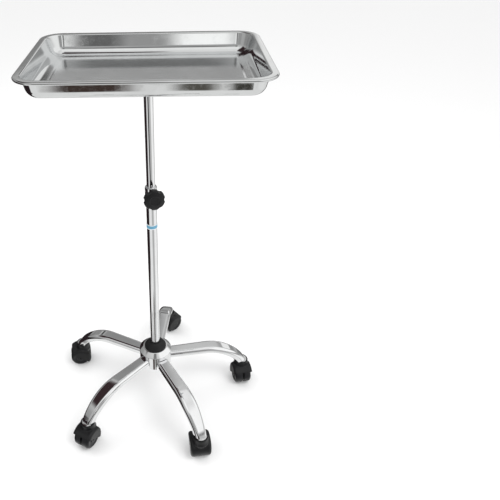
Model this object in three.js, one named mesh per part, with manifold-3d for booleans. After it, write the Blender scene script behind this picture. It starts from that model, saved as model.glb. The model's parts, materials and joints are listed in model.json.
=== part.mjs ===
// Instrument stand: a lift-off steel tray on a telescoping post, a star base of five
// bent legs, and five hooded twin-wheel casters. Millimetres, +Z up, floor at Z = 0.
import * as THREE from "three";
import { mergeVertices } from "three/addons/utils/BufferGeometryUtils.js";
import Module from "manifold-3d";

const wasm = await Module();
wasm.setup();

// ---------------------------------------------------------------- driving dimensions

const GAP = 0.3; // air between two pieces that touch
const RUN = 0.3; // radial air around what turns or slides

// Tray, measured over its rolled rim
const TRAY_LENGTH = 480;
const TRAY_WIDTH = 350;
const TRAY_DEPTH = 40;
const TRAY_SHEET = 1;
const TRAY_FLANGE = 15;
const TRAY_CORNER = 48;
const TRAY_DRAFT = 4;
const TRAY_FILLET = 18;
const TRAY_LIP = 6;
const RIM_HEIGHT = 979; // top of the rim above the floor, with the post as it is set

// Telescoping post
const OUTER_TUBE_R = 12.5;
const OUTER_TUBE_WALL = 1.2;
const OUTER_TUBE_TOP = 678;
const INNER_TUBE_R = 9.9;
const INNER_TUBE_WALL = 1.5;
const INNER_TUBE_LENGTH = 556;
const BUSH_DEPTH = 46;
const GLIDE_HEIGHT = 24;

// Clamp on top of the outer tube
const COLLAR_WALL = 1.5;
const COLLAR_HEIGHT = 38;
const COLLAR_LIP = 3;
const BOSS_R = 9.5;
const BOSS_LENGTH = 8.7; // beyond the collar
const SCREW_R = 4;
const SCREW_DROP = 18; // screw axis below the collar's top
const SHOE_LENGTH = 1.7;
const KNOB_R = 25;
const KNOB_LOBES = 6;
const KNOB_LOBE_DEPTH = 2.4;
const KNOB_THICKNESS = 15;
const KNOB_SKIRT_R = 18;
const KNOB_SKIRT = 2.6;
const KNOB_DIRECTION = -75; // degrees round the post from +X

// Label band round the outer tube
const BAND_CENTRE = 576;
const BAND_HEIGHT = 12;
const BAND_THICKNESS = 0.3;

// Tray carrier
const PLATE_LENGTH = 150;
const PLATE_WIDTH = 130;
const PLATE_THICKNESS = 4;
const SPIGOT_DEPTH = 28;
const BAR_WIDTH = 22;
const BAR_THICKNESS = 5;
const BAR_SPREAD = 100; // between the centre lines of the two long bars
const END_BAR_INSET = 49; // from the rim to an end bar's centre line
const END_BAR_LENGTH = 220;
const PAD_R = 9;
const PAD_THICKNESS = 4;
const PAD_INSET = 12; // from an end bar's end to the pad's centre

// Star base
const LEG_COUNT = 5;
const FIRST_LEG_ANGLE = 9.8; // degrees from +X
const LEG_REACH = 257; // post axis to caster stem
const LEG_HEIGHT = 142.5; // centre line of a leg's level part
const LEG_THICKNESS = 19;
const LEG_ROOT_WIDTH = 33;
const LEG_BEND_WIDTH = 38;
const LEG_TIP_WIDTH = 31;
const LEG_TIP_THICKNESS = 24;
const LEG_LEVEL = 124; // length of the level part
const LEG_WALL = 2.5;
const SOCKET_AIR = 1; // between the leg's socket and the caster's cup

// Hub
const HUB_WALL = 10.6;
const HUB_FLOOR = 4;
const HUB_FLANGE_REACH = 8.6;
const HUB_FLANGE = 4;
const HUB_NECK_WALL = 6.6;
const BASE_PLATE_R = 42;
const BASE_PLATE = 4;
const BOLT_R = 3;
const BOLT_CIRCLE_R = 36;
const BOLT_LENGTH = 14;
const BOLT_HEAD_R = 5.5;
const BOLT_HEAD = 4;
const POST_BOLT_R = 4;
const POST_BOLT_HEAD_R = 8;
const POST_BOLT_HEAD = 5.5;

// Decorative hub cover and cap
const COVER_R = 45;
const COVER_TOP_R = 33;
const COVER_HOLE_R = 28;
const COVER_CONE = 11;
const COVER_WALL = 1.6;
const COVER_HEIGHT = 53;
const COVER_BELOW_LEG = 11; // how far the tabs hang below the legs' underside
const COVER_WINDOW_AIR = 1.5;
const CAP_R = 30;
const CAP_EDGE = 3.5;
const CAP_RISE = 18;
const CAP_SKIRT = 6;

// Casters
const WHEEL_R = 29;
const WHEEL_SIDES = 20;
const WHEEL_WIDTH = 21.1;
const WHEEL_INNER = 2.4; // inner edge of the tread from the caster's mid-plane
const WHEEL_RECESS_R = 21.8; // hollow in the inner side, round the web's boss
const WHEEL_RECESS = 2.9;
const WHEEL_BEVEL = 4;
const AXLE_R = 4;
const TRAIL = 11; // stem axis to axle
const STEM_R = 5.5;
const STEM_IN_LEG = 19;
const STEM_IN_HOOD = 5;
const HOOD_AIR = 1.5;
const HOOD_WALL = 2.3;
const HOOD_WEB = 1.7; // half thickness of the web between the wheels
const HOOD_BOSS = 4.5; // and of its boss round the axle
const HOOD_BOSS_R = 20.5;
const CUP_R = 19.4;
const CUP_WALL = 2.2;
const CUP_DEPTH = 9; // from its rim to the underside of the leg's socket
const CUP_OVER_WHEEL = 8; // from the top of a wheel to the underside of the socket
const HOOD_SKIRT_FRONT = 9; // lowest point of the hood at its closed side
const HOOD_SKIRT_BACK = 50; // and at its open side
const CASTER_TURNS = [-80, 40, -170, -118, 98]; // way each caster trails, degrees

// ---------------------------------------------------------------- derived dimensions

const rad = THREE.MathUtils.degToRad;
const TRAY_BASE = RIM_HEIGHT - TRAY_DEPTH;
const BAR_TOP = TRAY_BASE - GAP - PAD_THICKNESS - GAP;
const PLATE_TOP = BAR_TOP - BAR_THICKNESS - GAP;
const INNER_TUBE_TOP = PLATE_TOP - PLATE_THICKNESS - GAP;
const INNER_TUBE_BASE = INNER_TUBE_TOP - INNER_TUBE_LENGTH;
const COLLAR_R = OUTER_TUBE_R + GAP + COLLAR_WALL;
const BOSS_REACH = COLLAR_R + BOSS_LENGTH;
const OUTER_BORE_R = OUTER_TUBE_R - OUTER_TUBE_WALL;
const INNER_BORE_R = INNER_TUBE_R - INNER_TUBE_WALL;
const LEG_TOP = LEG_HEIGHT + LEG_THICKNESS / 2;
const LEG_BOTTOM = LEG_HEIGHT - LEG_THICKNESS / 2;
const HUB_R = OUTER_TUBE_R + GAP + HUB_WALL;
const HUB_FLANGE_R = HUB_R + HUB_FLANGE_REACH;
const LEG_START = HUB_R + GAP;
const HUB_BORE_R = OUTER_TUBE_R + GAP;
const SOCKET_R = CUP_R - CUP_WALL - SOCKET_AIR;
const SOCKET_BASE = 2 * WHEEL_R + CUP_OVER_WHEEL;
const CUP_RIM = SOCKET_BASE + CUP_DEPTH;
const TUBE_SEAT = LEG_BOTTOM + HUB_FLOOR;
const COVER_BASE = LEG_BOTTOM - COVER_BELOW_LEG;
const COVER_TOP = COVER_BASE + COVER_HEIGHT;
const HUB_TOP = COVER_TOP - CAP_SKIRT; // the neck stops under the cap
const COLLAR_BASE = OUTER_TUBE_TOP + GAP + COLLAR_LIP - COLLAR_HEIGHT;
const COLLAR_TOP = COLLAR_BASE + COLLAR_HEIGHT;
const SCREW_Z = COLLAR_TOP - SCREW_DROP;
const AXLE_Z = WHEEL_R * Math.cos(Math.PI / WHEEL_SIDES);
const WHEEL_OUTER = WHEEL_INNER + WHEEL_WIDTH;
const HOOD_HALF = WHEEL_OUTER + HOOD_AIR + HOOD_WALL;
const HOOD_R = WHEEL_R + HOOD_AIR + HOOD_WALL;

// ---------------------------------------------------------------- materials

function finish(colour, roughness, metalness) {
  return new THREE.MeshStandardMaterial({ color: colour, roughness, metalness });
}

const satinSteel = finish(0xc9cbcc, 0.28, 1);
const chrome = finish(0xd6d8da, 0.07, 1);
const zinc = finish(0xb4b6b8, 0.4, 1);
const chromedPlastic = finish(0xdadcde, 0.05, 1);
const blackPlastic = finish(0x17181a, 0.5, 0);
const wheelNylon = finish(0x1b1c1f, 0.42, 0);
const whiteNylon = finish(0xe6e4de, 0.45, 0);
const padRubber = finish(0x242424, 0.8, 0);
const bandBlue = finish(0x4a7f9f, 0.5, 0);

// ---------------------------------------------------------------- geometry helpers

// A closed BufferGeometry as a manifold-3d solid.
function solid(geometry) {
  const bare = (geometry.index ? geometry.toNonIndexed() : geometry).clone();
  bare.deleteAttribute("normal");
  bare.deleteAttribute("uv");
  const merged = mergeVertices(bare, 1e-4);
  const mesh = new wasm.Mesh({
    numProp: 3,
    vertProperties: merged.attributes.position.array,
    triVerts: new Uint32Array(merged.index.array),
  });
  return new wasm.Manifold(mesh);
}

// A manifold-3d solid as a BufferGeometry.
function surface(body) {
  const mesh = body.getMesh();
  const geometry = new THREE.BufferGeometry();
  geometry.setAttribute("position", new THREE.BufferAttribute(mesh.vertProperties, 3));
  geometry.setIndex(new THREE.BufferAttribute(mesh.triVerts, 1));
  geometry.computeVertexNormals();
  return geometry;
}

// Material between two radii, from z0 to z1, about Z.
function sleeve(outerR, innerR, z0, z1, sides = 20) {
  const profile = [
    [innerR, z0],
    [outerR, z0],
    [outerR, z1],
    [innerR, z1],
    [innerR, z0],
  ];
  return turned(profile, sides);
}

// A profile of [radius, z] turned about Z.
function turned(profile, sides = 20) {
  const points = profile.map(([r, z]) => new THREE.Vector2(r, z));
  return new THREE.LatheGeometry(points, sides).rotateX(Math.PI / 2);
}

// A plain round bar about Z.
function rod(r, z0, z1, sides = 20) {
  return new THREE.CylinderGeometry(r, r, z1 - z0, sides)
    .rotateX(Math.PI / 2)
    .translate(0, 0, (z0 + z1) / 2);
}

// A hexagonal or round headed bolt pointing up, head under z = 0.
function bolt(shankR, length, headR, headHeight) {
  const head = solid(rod(headR, -headHeight, 0, 6));
  return surface(head.add(solid(rod(shankR, -headHeight / 2, length, 8))));
}

// A box with its lowest corner and its highest.
function block(x0, y0, z0, x1, y1, z1) {
  return new THREE.BoxGeometry(x1 - x0, y1 - y0, z1 - z0).translate(
    (x0 + x1) / 2,
    (y0 + y1) / 2,
    (z0 + z1) / 2,
  );
}

// An outline in X and Z, given thickness from y0 to y1.
function slab(shape, y0, y1, curveSegments = 12) {
  return new THREE.ExtrudeGeometry(shape, { depth: y1 - y0, bevelEnabled: false, curveSegments })
    .rotateX(Math.PI / 2)
    .translate(0, y1, 0);
}

// Turns a body made about Z to lie along +X, its z = 0 at x = 0.
function alongX(geometry) {
  return geometry.rotateY(Math.PI / 2);
}

// Rings of equal point counts, skinned in order and capped by a fan at both ends.
function loft(rings) {
  const count = rings[0].length;
  const positions = rings.flat(2);
  const index = [];
  for (let i = 0; i + 1 < rings.length; i++) {
    for (let j = 0; j < count; j++) {
      const a = i * count + j;
      const b = i * count + ((j + 1) % count);
      index.push(a, b, b + count, a, b + count, a + count);
    }
  }
  const last = (rings.length - 1) * count;
  for (let j = 1; j + 1 < count; j++) {
    index.push(0, j + 1, j);
    index.push(last, last + j, last + j + 1);
  }
  const geometry = new THREE.BufferGeometry();
  geometry.setAttribute("position", new THREE.Float32BufferAttribute(positions, 3));
  geometry.setIndex(index);
  return geometry.toNonIndexed();
}

// A level rounded rectangle of points, anticlockwise.
function roundedRing(halfX, halfY, corner, z, steps = 6) {
  const ring = [];
  for (let q = 0; q < 4; q++) {
    const cx = (q === 0 || q === 3 ? 1 : -1) * (halfX - corner);
    const cy = (q < 2 ? 1 : -1) * (halfY - corner);
    for (let s = 0; s <= steps; s++) {
      const a = ((q + s / steps) * Math.PI) / 2;
      ring.push([cx + corner * Math.cos(a), cy + corner * Math.sin(a), z]);
    }
  }
  return ring;
}

const stand = new THREE.Group();

function add(name, geometry, material, parent = stand) {
  const mesh = new THREE.Mesh(geometry, material.clone());
  mesh.name = name;
  parent.add(mesh);
  return mesh;
}

function turnedGroup(degrees, x = 0, y = 0, z = 0) {
  const group = new THREE.Group();
  group.position.set(x, y, z);
  group.rotation.z = rad(degrees);
  stand.add(group);
  return group;
}

// ---------------------------------------------------------------- tray and its carrier

// One pressed sheet: floor, filleted walls, flange and a rolled lip.
function trayGeometry() {
  const halfX = TRAY_LENGTH / 2;
  const halfY = TRAY_WIDTH / 2;
  const ring = (inset, z) =>
    roundedRing(halfX - inset, halfY - inset, Math.max(TRAY_CORNER - inset, 1), z);
  const wallFoot = TRAY_FLANGE + TRAY_DRAFT;
  const fillet = (radius, foot, floor) => {
    const rings = [];
    for (const degrees of [90, 60, 30, 0]) {
      const a = rad(degrees);
      rings.push(ring(foot + radius * (1 - Math.cos(a)), floor + radius * (1 - Math.sin(a))));
    }
    return rings;
  };
  const floor = TRAY_BASE + TRAY_SHEET;
  const innerRadius = TRAY_FILLET - TRAY_SHEET;
  const skin = [
    ...fillet(TRAY_FILLET, wallFoot, TRAY_BASE),
    ring(TRAY_FLANGE, RIM_HEIGHT - TRAY_SHEET),
    ring(TRAY_SHEET, RIM_HEIGHT - TRAY_SHEET),
    ring(TRAY_SHEET, RIM_HEIGHT - TRAY_LIP),
    ring(0, RIM_HEIGHT - TRAY_LIP),
    ring(0, RIM_HEIGHT - TRAY_SHEET),
    ring(TRAY_SHEET, RIM_HEIGHT),
    ring(TRAY_FLANGE + TRAY_SHEET, RIM_HEIGHT),
    ...fillet(innerRadius, wallFoot + TRAY_SHEET, floor).reverse(),
  ];
  return loft(skin);
}

function addTrayAndCarrier() {
  add("tray", trayGeometry(), satinSteel);

  const plate = solid(
    block(
      -PLATE_LENGTH / 2,
      -PLATE_WIDTH / 2,
      PLATE_TOP - PLATE_THICKNESS,
      PLATE_LENGTH / 2,
      PLATE_WIDTH / 2,
      PLATE_TOP,
    ),
  );
  const spigotR = INNER_BORE_R - GAP;
  const spigot = solid(rod(spigotR, INNER_TUBE_TOP - SPIGOT_DEPTH, PLATE_TOP - 1));
  add("carrier_plate", surface(plate.add(spigot)), zinc);

  const endBarX = TRAY_LENGTH / 2 - END_BAR_INSET;
  const barHalf = endBarX - BAR_WIDTH / 2 - GAP;
  for (const [name, side] of [["carrier_bar_front", -1], ["carrier_bar_back", 1]]) {
    const y = (side * BAR_SPREAD) / 2;
    const z0 = BAR_TOP - BAR_THICKNESS;
    const bar = block(-barHalf, y - BAR_WIDTH / 2, z0, barHalf, y + BAR_WIDTH / 2, BAR_TOP);
    add(name, bar, zinc);
  }
  for (const [name, side] of [["carrier_end_left", -1], ["carrier_end_right", 1]]) {
    const x = side * endBarX;
    const half = END_BAR_LENGTH / 2;
    const z0 = BAR_TOP - BAR_THICKNESS;
    const bar = block(x - BAR_WIDTH / 2, -half, z0, x + BAR_WIDTH / 2, half, BAR_TOP);
    add(name, bar, zinc);
    for (const [end, way] of [["front", -1], ["back", 1]]) {
      const z = BAR_TOP + GAP;
      const pad = add(
        `pad_${end}_${side < 0 ? "left" : "right"}`,
        turned([[0, 0], [PAD_R, 0], [PAD_R - 1, PAD_THICKNESS], [0, PAD_THICKNESS]], 16),
        padRubber,
      );
      pad.position.set(x, way * (half - PAD_INSET), z);
    }
  }
}

// ---------------------------------------------------------------- post

// A radial hole for the clamp screw, through one side of the post.
function screwHole(r) {
  const hole = alongX(rod(r, 0, BOSS_REACH + 2 * KNOB_THICKNESS, 16));
  return solid(hole.rotateZ(rad(KNOB_DIRECTION)).translate(0, 0, SCREW_Z));
}

function addPost() {
  const hole = screwHole(SCREW_R + RUN);
  const outer = sleeve(OUTER_TUBE_R, OUTER_BORE_R, TUBE_SEAT + GAP, OUTER_TUBE_TOP);
  add("outer_tube", surface(solid(outer).subtract(hole)), chrome);

  const bush = sleeve(
    OUTER_BORE_R - GAP,
    INNER_TUBE_R + RUN,
    OUTER_TUBE_TOP - BUSH_DEPTH,
    OUTER_TUBE_TOP,
  );
  add("guide_bush", surface(solid(bush).subtract(hole)), whiteNylon);

  const bandR = OUTER_TUBE_R + GAP;
  const band = sleeve(
    bandR + BAND_THICKNESS,
    bandR,
    BAND_CENTRE - BAND_HEIGHT / 2,
    BAND_CENTRE + BAND_HEIGHT / 2,
  );
  add("label_band", band, bandBlue);

  add(
    "inner_tube",
    sleeve(INNER_TUBE_R, INNER_BORE_R, INNER_TUBE_BASE, INNER_TUBE_TOP),
    chrome,
  );
  const ringTop = INNER_TUBE_BASE - GAP;
  const glide = [
    [0, ringTop - GLIDE_HEIGHT / 2],
    [OUTER_BORE_R - RUN - 1, ringTop - GLIDE_HEIGHT / 2],
    [OUTER_BORE_R - RUN, ringTop - GLIDE_HEIGHT / 2 + 1],
    [OUTER_BORE_R - RUN, ringTop],
    [INNER_BORE_R - RUN, ringTop],
    [INNER_BORE_R - RUN, ringTop + GLIDE_HEIGHT / 2],
    [0, ringTop + GLIDE_HEIGHT / 2],
  ];
  add("post_glide", turned(glide), whiteNylon);
}

// ---------------------------------------------------------------- clamp and knob

function collarGeometry() {
  const profile = [
    [OUTER_TUBE_R + GAP, COLLAR_BASE],
    [COLLAR_R - 0.8, COLLAR_BASE],
    [COLLAR_R, COLLAR_BASE + 0.8],
    [COLLAR_R, COLLAR_TOP - 1.5],
    [COLLAR_R - 1.5, COLLAR_TOP],
    [INNER_TUBE_R + RUN, COLLAR_TOP],
    [INNER_TUBE_R + RUN, COLLAR_TOP - COLLAR_LIP],
    [OUTER_TUBE_R + GAP, COLLAR_TOP - COLLAR_LIP],
    [OUTER_TUBE_R + GAP, COLLAR_BASE],
  ];
  const boss = alongX(rod(BOSS_R, OUTER_TUBE_R + GAP + 0.5, BOSS_REACH, 20))
    .rotateZ(rad(KNOB_DIRECTION))
    .translate(0, 0, SCREW_Z);
  const bore = solid(rod(OUTER_TUBE_R + GAP, COLLAR_BASE - 1, COLLAR_TOP - COLLAR_LIP));
  const body = solid(turned(profile)).add(solid(boss).subtract(bore));
  return surface(body.subtract(screwHole(SCREW_R + RUN)));
}

// A lobed hand wheel with a domed face, its back at z = 0.
function knobGeometry() {
  const stepsPerLobe = 6;
  const ring = (scale, z) => {
    const points = [];
    for (let i = 0; i < KNOB_LOBES * stepsPerLobe; i++) {
      const a = (i / (KNOB_LOBES * stepsPerLobe)) * 2 * Math.PI;
      const wave = (1 - Math.cos(KNOB_LOBES * a)) / 2;
      const r = (KNOB_R - KNOB_LOBE_DEPTH * wave * wave) * scale;
      points.push([r * Math.cos(a), r * Math.sin(a), z]);
    }
    return points;
  };
  const rings = [
    ring(0.9, 0),
    ring(1, 2),
    ring(1, KNOB_THICKNESS - 5),
    ring(0.93, KNOB_THICKNESS - 1.5),
    ring(0.75, KNOB_THICKNESS),
  ];
  return loft(rings);
}

function addClamp() {
  add("clamp_collar", collarGeometry(), chrome);
  const clamp = turnedGroup(KNOB_DIRECTION, 0, 0, SCREW_Z);
  const shoeStart = INNER_TUBE_R + RUN;
  const shoeEnd = shoeStart + SHOE_LENGTH;
  const screwEnd = BOSS_REACH + GAP + KNOB_SKIRT;
  const shoe = rod(SCREW_R - RUN, shoeStart, shoeEnd, 16);
  add("clamp_shoe", alongX(shoe), whiteNylon, clamp);

  const shank = solid(rod(SCREW_R, shoeEnd + GAP, screwEnd, 16));
  const skirt = solid(
    turned([
      [0, BOSS_REACH + GAP],
      [KNOB_SKIRT_R - 1, BOSS_REACH + GAP],
      [KNOB_SKIRT_R, BOSS_REACH + GAP + 1],
      [KNOB_SKIRT_R, screwEnd],
      [0, screwEnd],
    ]),
  );
  add("knob_screw", alongX(surface(shank.add(skirt))), chrome, clamp);

  const knob = add("lock_knob", alongX(knobGeometry()), blackPlastic, clamp);
  knob.position.x = screwEnd + GAP;
}

// ---------------------------------------------------------------- hub

function hubCoreGeometry() {
  const profile = [
    [POST_BOLT_R + GAP, LEG_BOTTOM],
    [HUB_R, LEG_BOTTOM],
    [HUB_R, LEG_TOP + GAP],
    [HUB_FLANGE_R, LEG_TOP + GAP],
    [HUB_FLANGE_R, LEG_TOP + GAP + HUB_FLANGE],
    [HUB_BORE_R + HUB_NECK_WALL, LEG_TOP + GAP + HUB_FLANGE],
    [HUB_BORE_R + HUB_NECK_WALL, HUB_TOP],
    [HUB_BORE_R, HUB_TOP],
    [HUB_BORE_R, TUBE_SEAT],
    [POST_BOLT_R + GAP, TUBE_SEAT],
    [POST_BOLT_R + GAP, LEG_BOTTOM],
  ];
  return turned(profile);
}

function basePlateGeometry() {
  const top = LEG_BOTTOM - GAP;
  let plate = solid(
    sleeve(BASE_PLATE_R, POST_BOLT_R + GAP, top - BASE_PLATE, top, 30),
  );
  for (let i = 0; i < LEG_COUNT; i++) {
    const a = rad(FIRST_LEG_ANGLE + (i * 360) / LEG_COUNT);
    const hole = rod(BOLT_R + GAP, top - BASE_PLATE - 1, top + 1, 8);
    hole.translate(BOLT_CIRCLE_R * Math.cos(a), BOLT_CIRCLE_R * Math.sin(a), 0);
    plate = plate.subtract(solid(hole));
  }
  return surface(plate);
}

// A thin crown: flat ring, cone and skirt, with an arched window round each leg.
function hubCoverGeometry() {
  const profile = [
    [COVER_R - COVER_WALL, COVER_BASE],
    [COVER_R, COVER_BASE],
    [COVER_R, COVER_TOP - COVER_CONE],
    [COVER_TOP_R, COVER_TOP],
    [COVER_HOLE_R, COVER_TOP],
    [COVER_HOLE_R, COVER_TOP - COVER_WALL],
    [COVER_TOP_R - COVER_WALL / 2, COVER_TOP - COVER_WALL],
    [COVER_R - COVER_WALL, COVER_TOP - COVER_CONE - COVER_WALL / 2],
    [COVER_R - COVER_WALL, COVER_BASE],
  ];
  let cover = solid(turned(profile, 36));
  const half = LEG_ROOT_WIDTH / 2 + COVER_WINDOW_AIR;
  const top = LEG_TOP + COVER_WINDOW_AIR;
  const arch = half * 0.7;
  const window = new THREE.Shape();
  window.moveTo(-half, COVER_BASE - 1);
  window.lineTo(half, COVER_BASE - 1);
  window.lineTo(half, top - arch);
  window.absarc(half - arch, top - arch, arch, 0, Math.PI / 2);
  window.absarc(arch - half, top - arch, arch, Math.PI / 2, Math.PI);
  for (let i = 0; i < LEG_COUNT; i++) {
    const cut = slab(window, -COVER_R - 5, -HUB_R, 4);
    cut.rotateZ(rad(FIRST_LEG_ANGLE + 90 + (i * 360) / LEG_COUNT));
    cover = cover.subtract(solid(cut));
  }
  return surface(cover);
}

function hubCapGeometry() {
  const base = COVER_TOP + GAP;
  const bore = OUTER_TUBE_R + GAP;
  const profile = [
    [bore, base - CAP_SKIRT],
    [COVER_HOLE_R - GAP - 0.7, base - CAP_SKIRT],
    [COVER_HOLE_R - GAP, base],
    [CAP_R - 0.6, base],
    [CAP_R, base + 0.6],
    [CAP_R, base + CAP_EDGE - 0.8],
  ];
  const domeSteps = 3;
  for (let i = 0; i <= domeSteps; i++) {
    const t = i / domeSteps;
    const r = CAP_R - 1 - (CAP_R - 1 - bore - 1.5) * t;
    profile.push([r, base + CAP_EDGE + (CAP_RISE - CAP_EDGE) * Math.sin((t * Math.PI) / 2.3)]);
  }
  profile.push([bore, profile.at(-1)[1]]);
  profile.push([bore, base - CAP_SKIRT]);
  return turned(profile, 24);
}

function addHub() {
  add("hub_core", hubCoreGeometry(), zinc);
  add("base_plate", basePlateGeometry(), zinc);
  add("hub_cover", hubCoverGeometry(), chromedPlastic);
  add("hub_cap", hubCapGeometry(), blackPlastic);
  const headTop = LEG_BOTTOM - GAP - BASE_PLATE - GAP;
  const postBolt = bolt(
    POST_BOLT_R,
    TUBE_SEAT - headTop + BOLT_HEAD,
    POST_BOLT_HEAD_R,
    POST_BOLT_HEAD,
  );
  add("post_bolt", postBolt, zinc).position.z = headTop;
}

// ---------------------------------------------------------------- legs

// A superellipse section, so the leg has flat faces and full round edges.
function legRing(x, z, slope, width, thickness, count) {
  const power = 2 / 3.2;
  const ring = [];
  for (let i = 0; i < count; i++) {
    const a = (i / count) * 2 * Math.PI;
    const c = Math.cos(a);
    const s = Math.sin(a);
    const across = (width / 2) * Math.sign(c) * Math.abs(c) ** power;
    const up = (thickness / 2) * Math.sign(s) * Math.abs(s) ** power;
    ring.push([x - up * Math.sin(slope), across, z + up * Math.cos(slope)]);
  }
  return ring;
}

// Centre line of a leg: level, then one curve down to the socket.
function legPath() {
  const bendStart = LEG_START + LEG_LEVEL;
  const run = LEG_REACH - bendStart;
  const curve = new THREE.CubicBezierCurve3(
    new THREE.Vector3(bendStart, 0, LEG_HEIGHT),
    new THREE.Vector3(bendStart + run * 0.46, 0, LEG_HEIGHT),
    new THREE.Vector3(LEG_REACH - run * 0.065, 0, SOCKET_BASE + (LEG_HEIGHT - SOCKET_BASE) * 0.42),
    new THREE.Vector3(LEG_REACH, 0, SOCKET_BASE),
  );
  return { bendStart, curve };
}

// Width and thickness of the leg at a share t of its bend.
function legSize(t) {
  const belly = Math.sin(Math.PI * Math.min(t / 0.8, 1));
  const along = THREE.MathUtils.smoothstep(t, 0.35, 1);
  const start = LEG_ROOT_WIDTH + (LEG_BEND_WIDTH - LEG_ROOT_WIDTH) * 0.7;
  return {
    width: start + (LEG_TIP_WIDTH - start) * along + (LEG_BEND_WIDTH - start) * belly,
    thickness: LEG_THICKNESS + (LEG_TIP_THICKNESS - LEG_THICKNESS) * along,
  };
}

// Rings along the leg, shrunk by an inset; a drop lengthens them downwards.
function legRings(inset, drop, levelFrom, bendTo, bendSteps, count) {
  const { bendStart, curve } = legPath();
  const rings = [];
  const shrink = (x, z, slope, width, thickness) => {
    const deep = thickness - inset + drop;
    const shift = -(inset + drop) / 2;
    const cx = x - shift * Math.sin(slope);
    const cz = z + shift * Math.cos(slope);
    return legRing(cx, cz, slope, width - 2 * inset, deep, count);
  };
  const bendWidth = legSize(0).width;
  const grow = (levelFrom - LEG_START) / (bendStart - LEG_START);
  const width = LEG_ROOT_WIDTH + (bendWidth - LEG_ROOT_WIDTH) * grow;
  rings.push(shrink(levelFrom, LEG_HEIGHT, 0, width, LEG_THICKNESS));
  for (let i = 0; i <= bendSteps; i++) {
    const t = (i / bendSteps) * bendTo;
    const p = curve.getPoint(t);
    const d = curve.getTangent(t);
    const size = legSize(t);
    rings.push(shrink(p.x, p.z, Math.atan2(d.z, d.x), size.width, size.thickness));
  }
  return rings;
}

// A pressed channel, open below, with a round socket that turns inside the caster's cup.
function legGeometry() {
  const outside = solid(loft(legRings(0, 0, LEG_START, 1, 6, 14)));
  const clearOfCup = CUP_RIM + SOCKET_AIR;
  const atStem = (geometry) => solid(geometry.translate(LEG_REACH, 0, 0));
  const socket = atStem(rod(SOCKET_R, SOCKET_BASE, clearOfCup, 16));
  const roundCup = atStem(sleeve(LEG_BEND_WIDTH, SOCKET_R, 0, clearOfCup, 16));
  const underSocket = atStem(rod(LEG_BEND_WIDTH, 0, SOCKET_BASE, 12));
  const rootBlock = BOLT_CIRCLE_R + 2 * BOLT_HEAD_R;
  const hollow = solid(loft(legRings(LEG_WALL, LEG_THICKNESS / 2, rootBlock, 0.55, 3, 8)));
  const stemHole = atStem(rod(STEM_R + RUN, SOCKET_BASE - 1, SOCKET_BASE + STEM_IN_LEG + 1, 10));
  const boltHole = solid(
    rod(BOLT_R + GAP, LEG_BOTTOM - 1, LEG_BOTTOM + BOLT_LENGTH - BASE_PLATE, 8)
      .translate(BOLT_CIRCLE_R, 0, 0),
  );
  const leg = outside.subtract(roundCup).subtract(underSocket).add(socket);
  return surface(leg.subtract(hollow).subtract(stemHole).subtract(boltHole));
}

function addLegs() {
  const leg = legGeometry();
  const headTop = LEG_BOTTOM - GAP - BASE_PLATE - GAP;
  const legBolt = bolt(BOLT_R, BOLT_LENGTH - BOLT_HEAD, BOLT_HEAD_R, BOLT_HEAD);
  for (let i = 0; i < LEG_COUNT; i++) {
    const group = turnedGroup(FIRST_LEG_ANGLE + (i * 360) / LEG_COUNT);
    add(`leg_${i + 1}`, leg.clone(), chrome, group);
    const fastener = add(`leg_bolt_${i + 1}`, legBolt.clone(), zinc, group);
    fastener.position.set(BOLT_CIRCLE_R, 0, headTop);
  }
}

// ---------------------------------------------------------------- casters
// Each is made with its stem on the Z axis and its wheels trailing towards +X.

function hoodGeometry() {
  const reach = HOOD_R * 2;
  const across = (r, y0, y1, sides = 22) =>
    new THREE.CylinderGeometry(r, r, y1 - y0, sides).translate(TRAIL, (y0 + y1) / 2, AXLE_Z);
  const cavityR = WHEEL_R + HOOD_AIR;
  const withoutWheels = (body) => {
    const far = WHEEL_OUTER + HOOD_AIR;
    const left = solid(across(cavityR, HOOD_WEB, far));
    const right = solid(across(cavityR, -far, -HOOD_WEB));
    return body.subtract(left).subtract(right);
  };
  const open = new THREE.Shape();
  open.moveTo(TRAIL - reach, HOOD_SKIRT_FRONT);
  open.lineTo(TRAIL - HOOD_R * 0.9, HOOD_SKIRT_FRONT);
  open.lineTo(TRAIL + HOOD_R * 0.75, HOOD_SKIRT_BACK);
  open.lineTo(TRAIL + reach, HOOD_SKIRT_BACK);
  open.lineTo(TRAIL + reach, -reach);
  open.lineTo(TRAIL - reach, -reach);
  const block = solid(across(HOOD_R, -HOOD_HALF, HOOD_HALF));
  const shell = withoutWheels(block).subtract(solid(slab(open, -reach, reach)));

  const seat = SOCKET_BASE - GAP;
  const cup = solid(
    turned(
      [
        [0, AXLE_Z + HOOD_BOSS_R],
        [STEM_R + 3, AXLE_Z + HOOD_BOSS_R],
        [CUP_R, seat - 6],
        [CUP_R, CUP_RIM],
        [CUP_R - CUP_WALL, CUP_RIM],
        [CUP_R - CUP_WALL, seat],
        [0, seat],
      ],
      16,
    ),
  );
  const boss = solid(across(HOOD_BOSS_R, -HOOD_BOSS, HOOD_BOSS, 12));
  const hood = withoutWheels(shell.add(cup)).add(boss);
  const stemHole = solid(rod(STEM_R + GAP, seat - STEM_IN_HOOD, CUP_RIM, 10));
  const axleHole = solid(across(AXLE_R + GAP, -2 * HOOD_BOSS, 2 * HOOD_BOSS, 10));
  return surface(hood.subtract(stemHole).subtract(axleHole));
}

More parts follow.
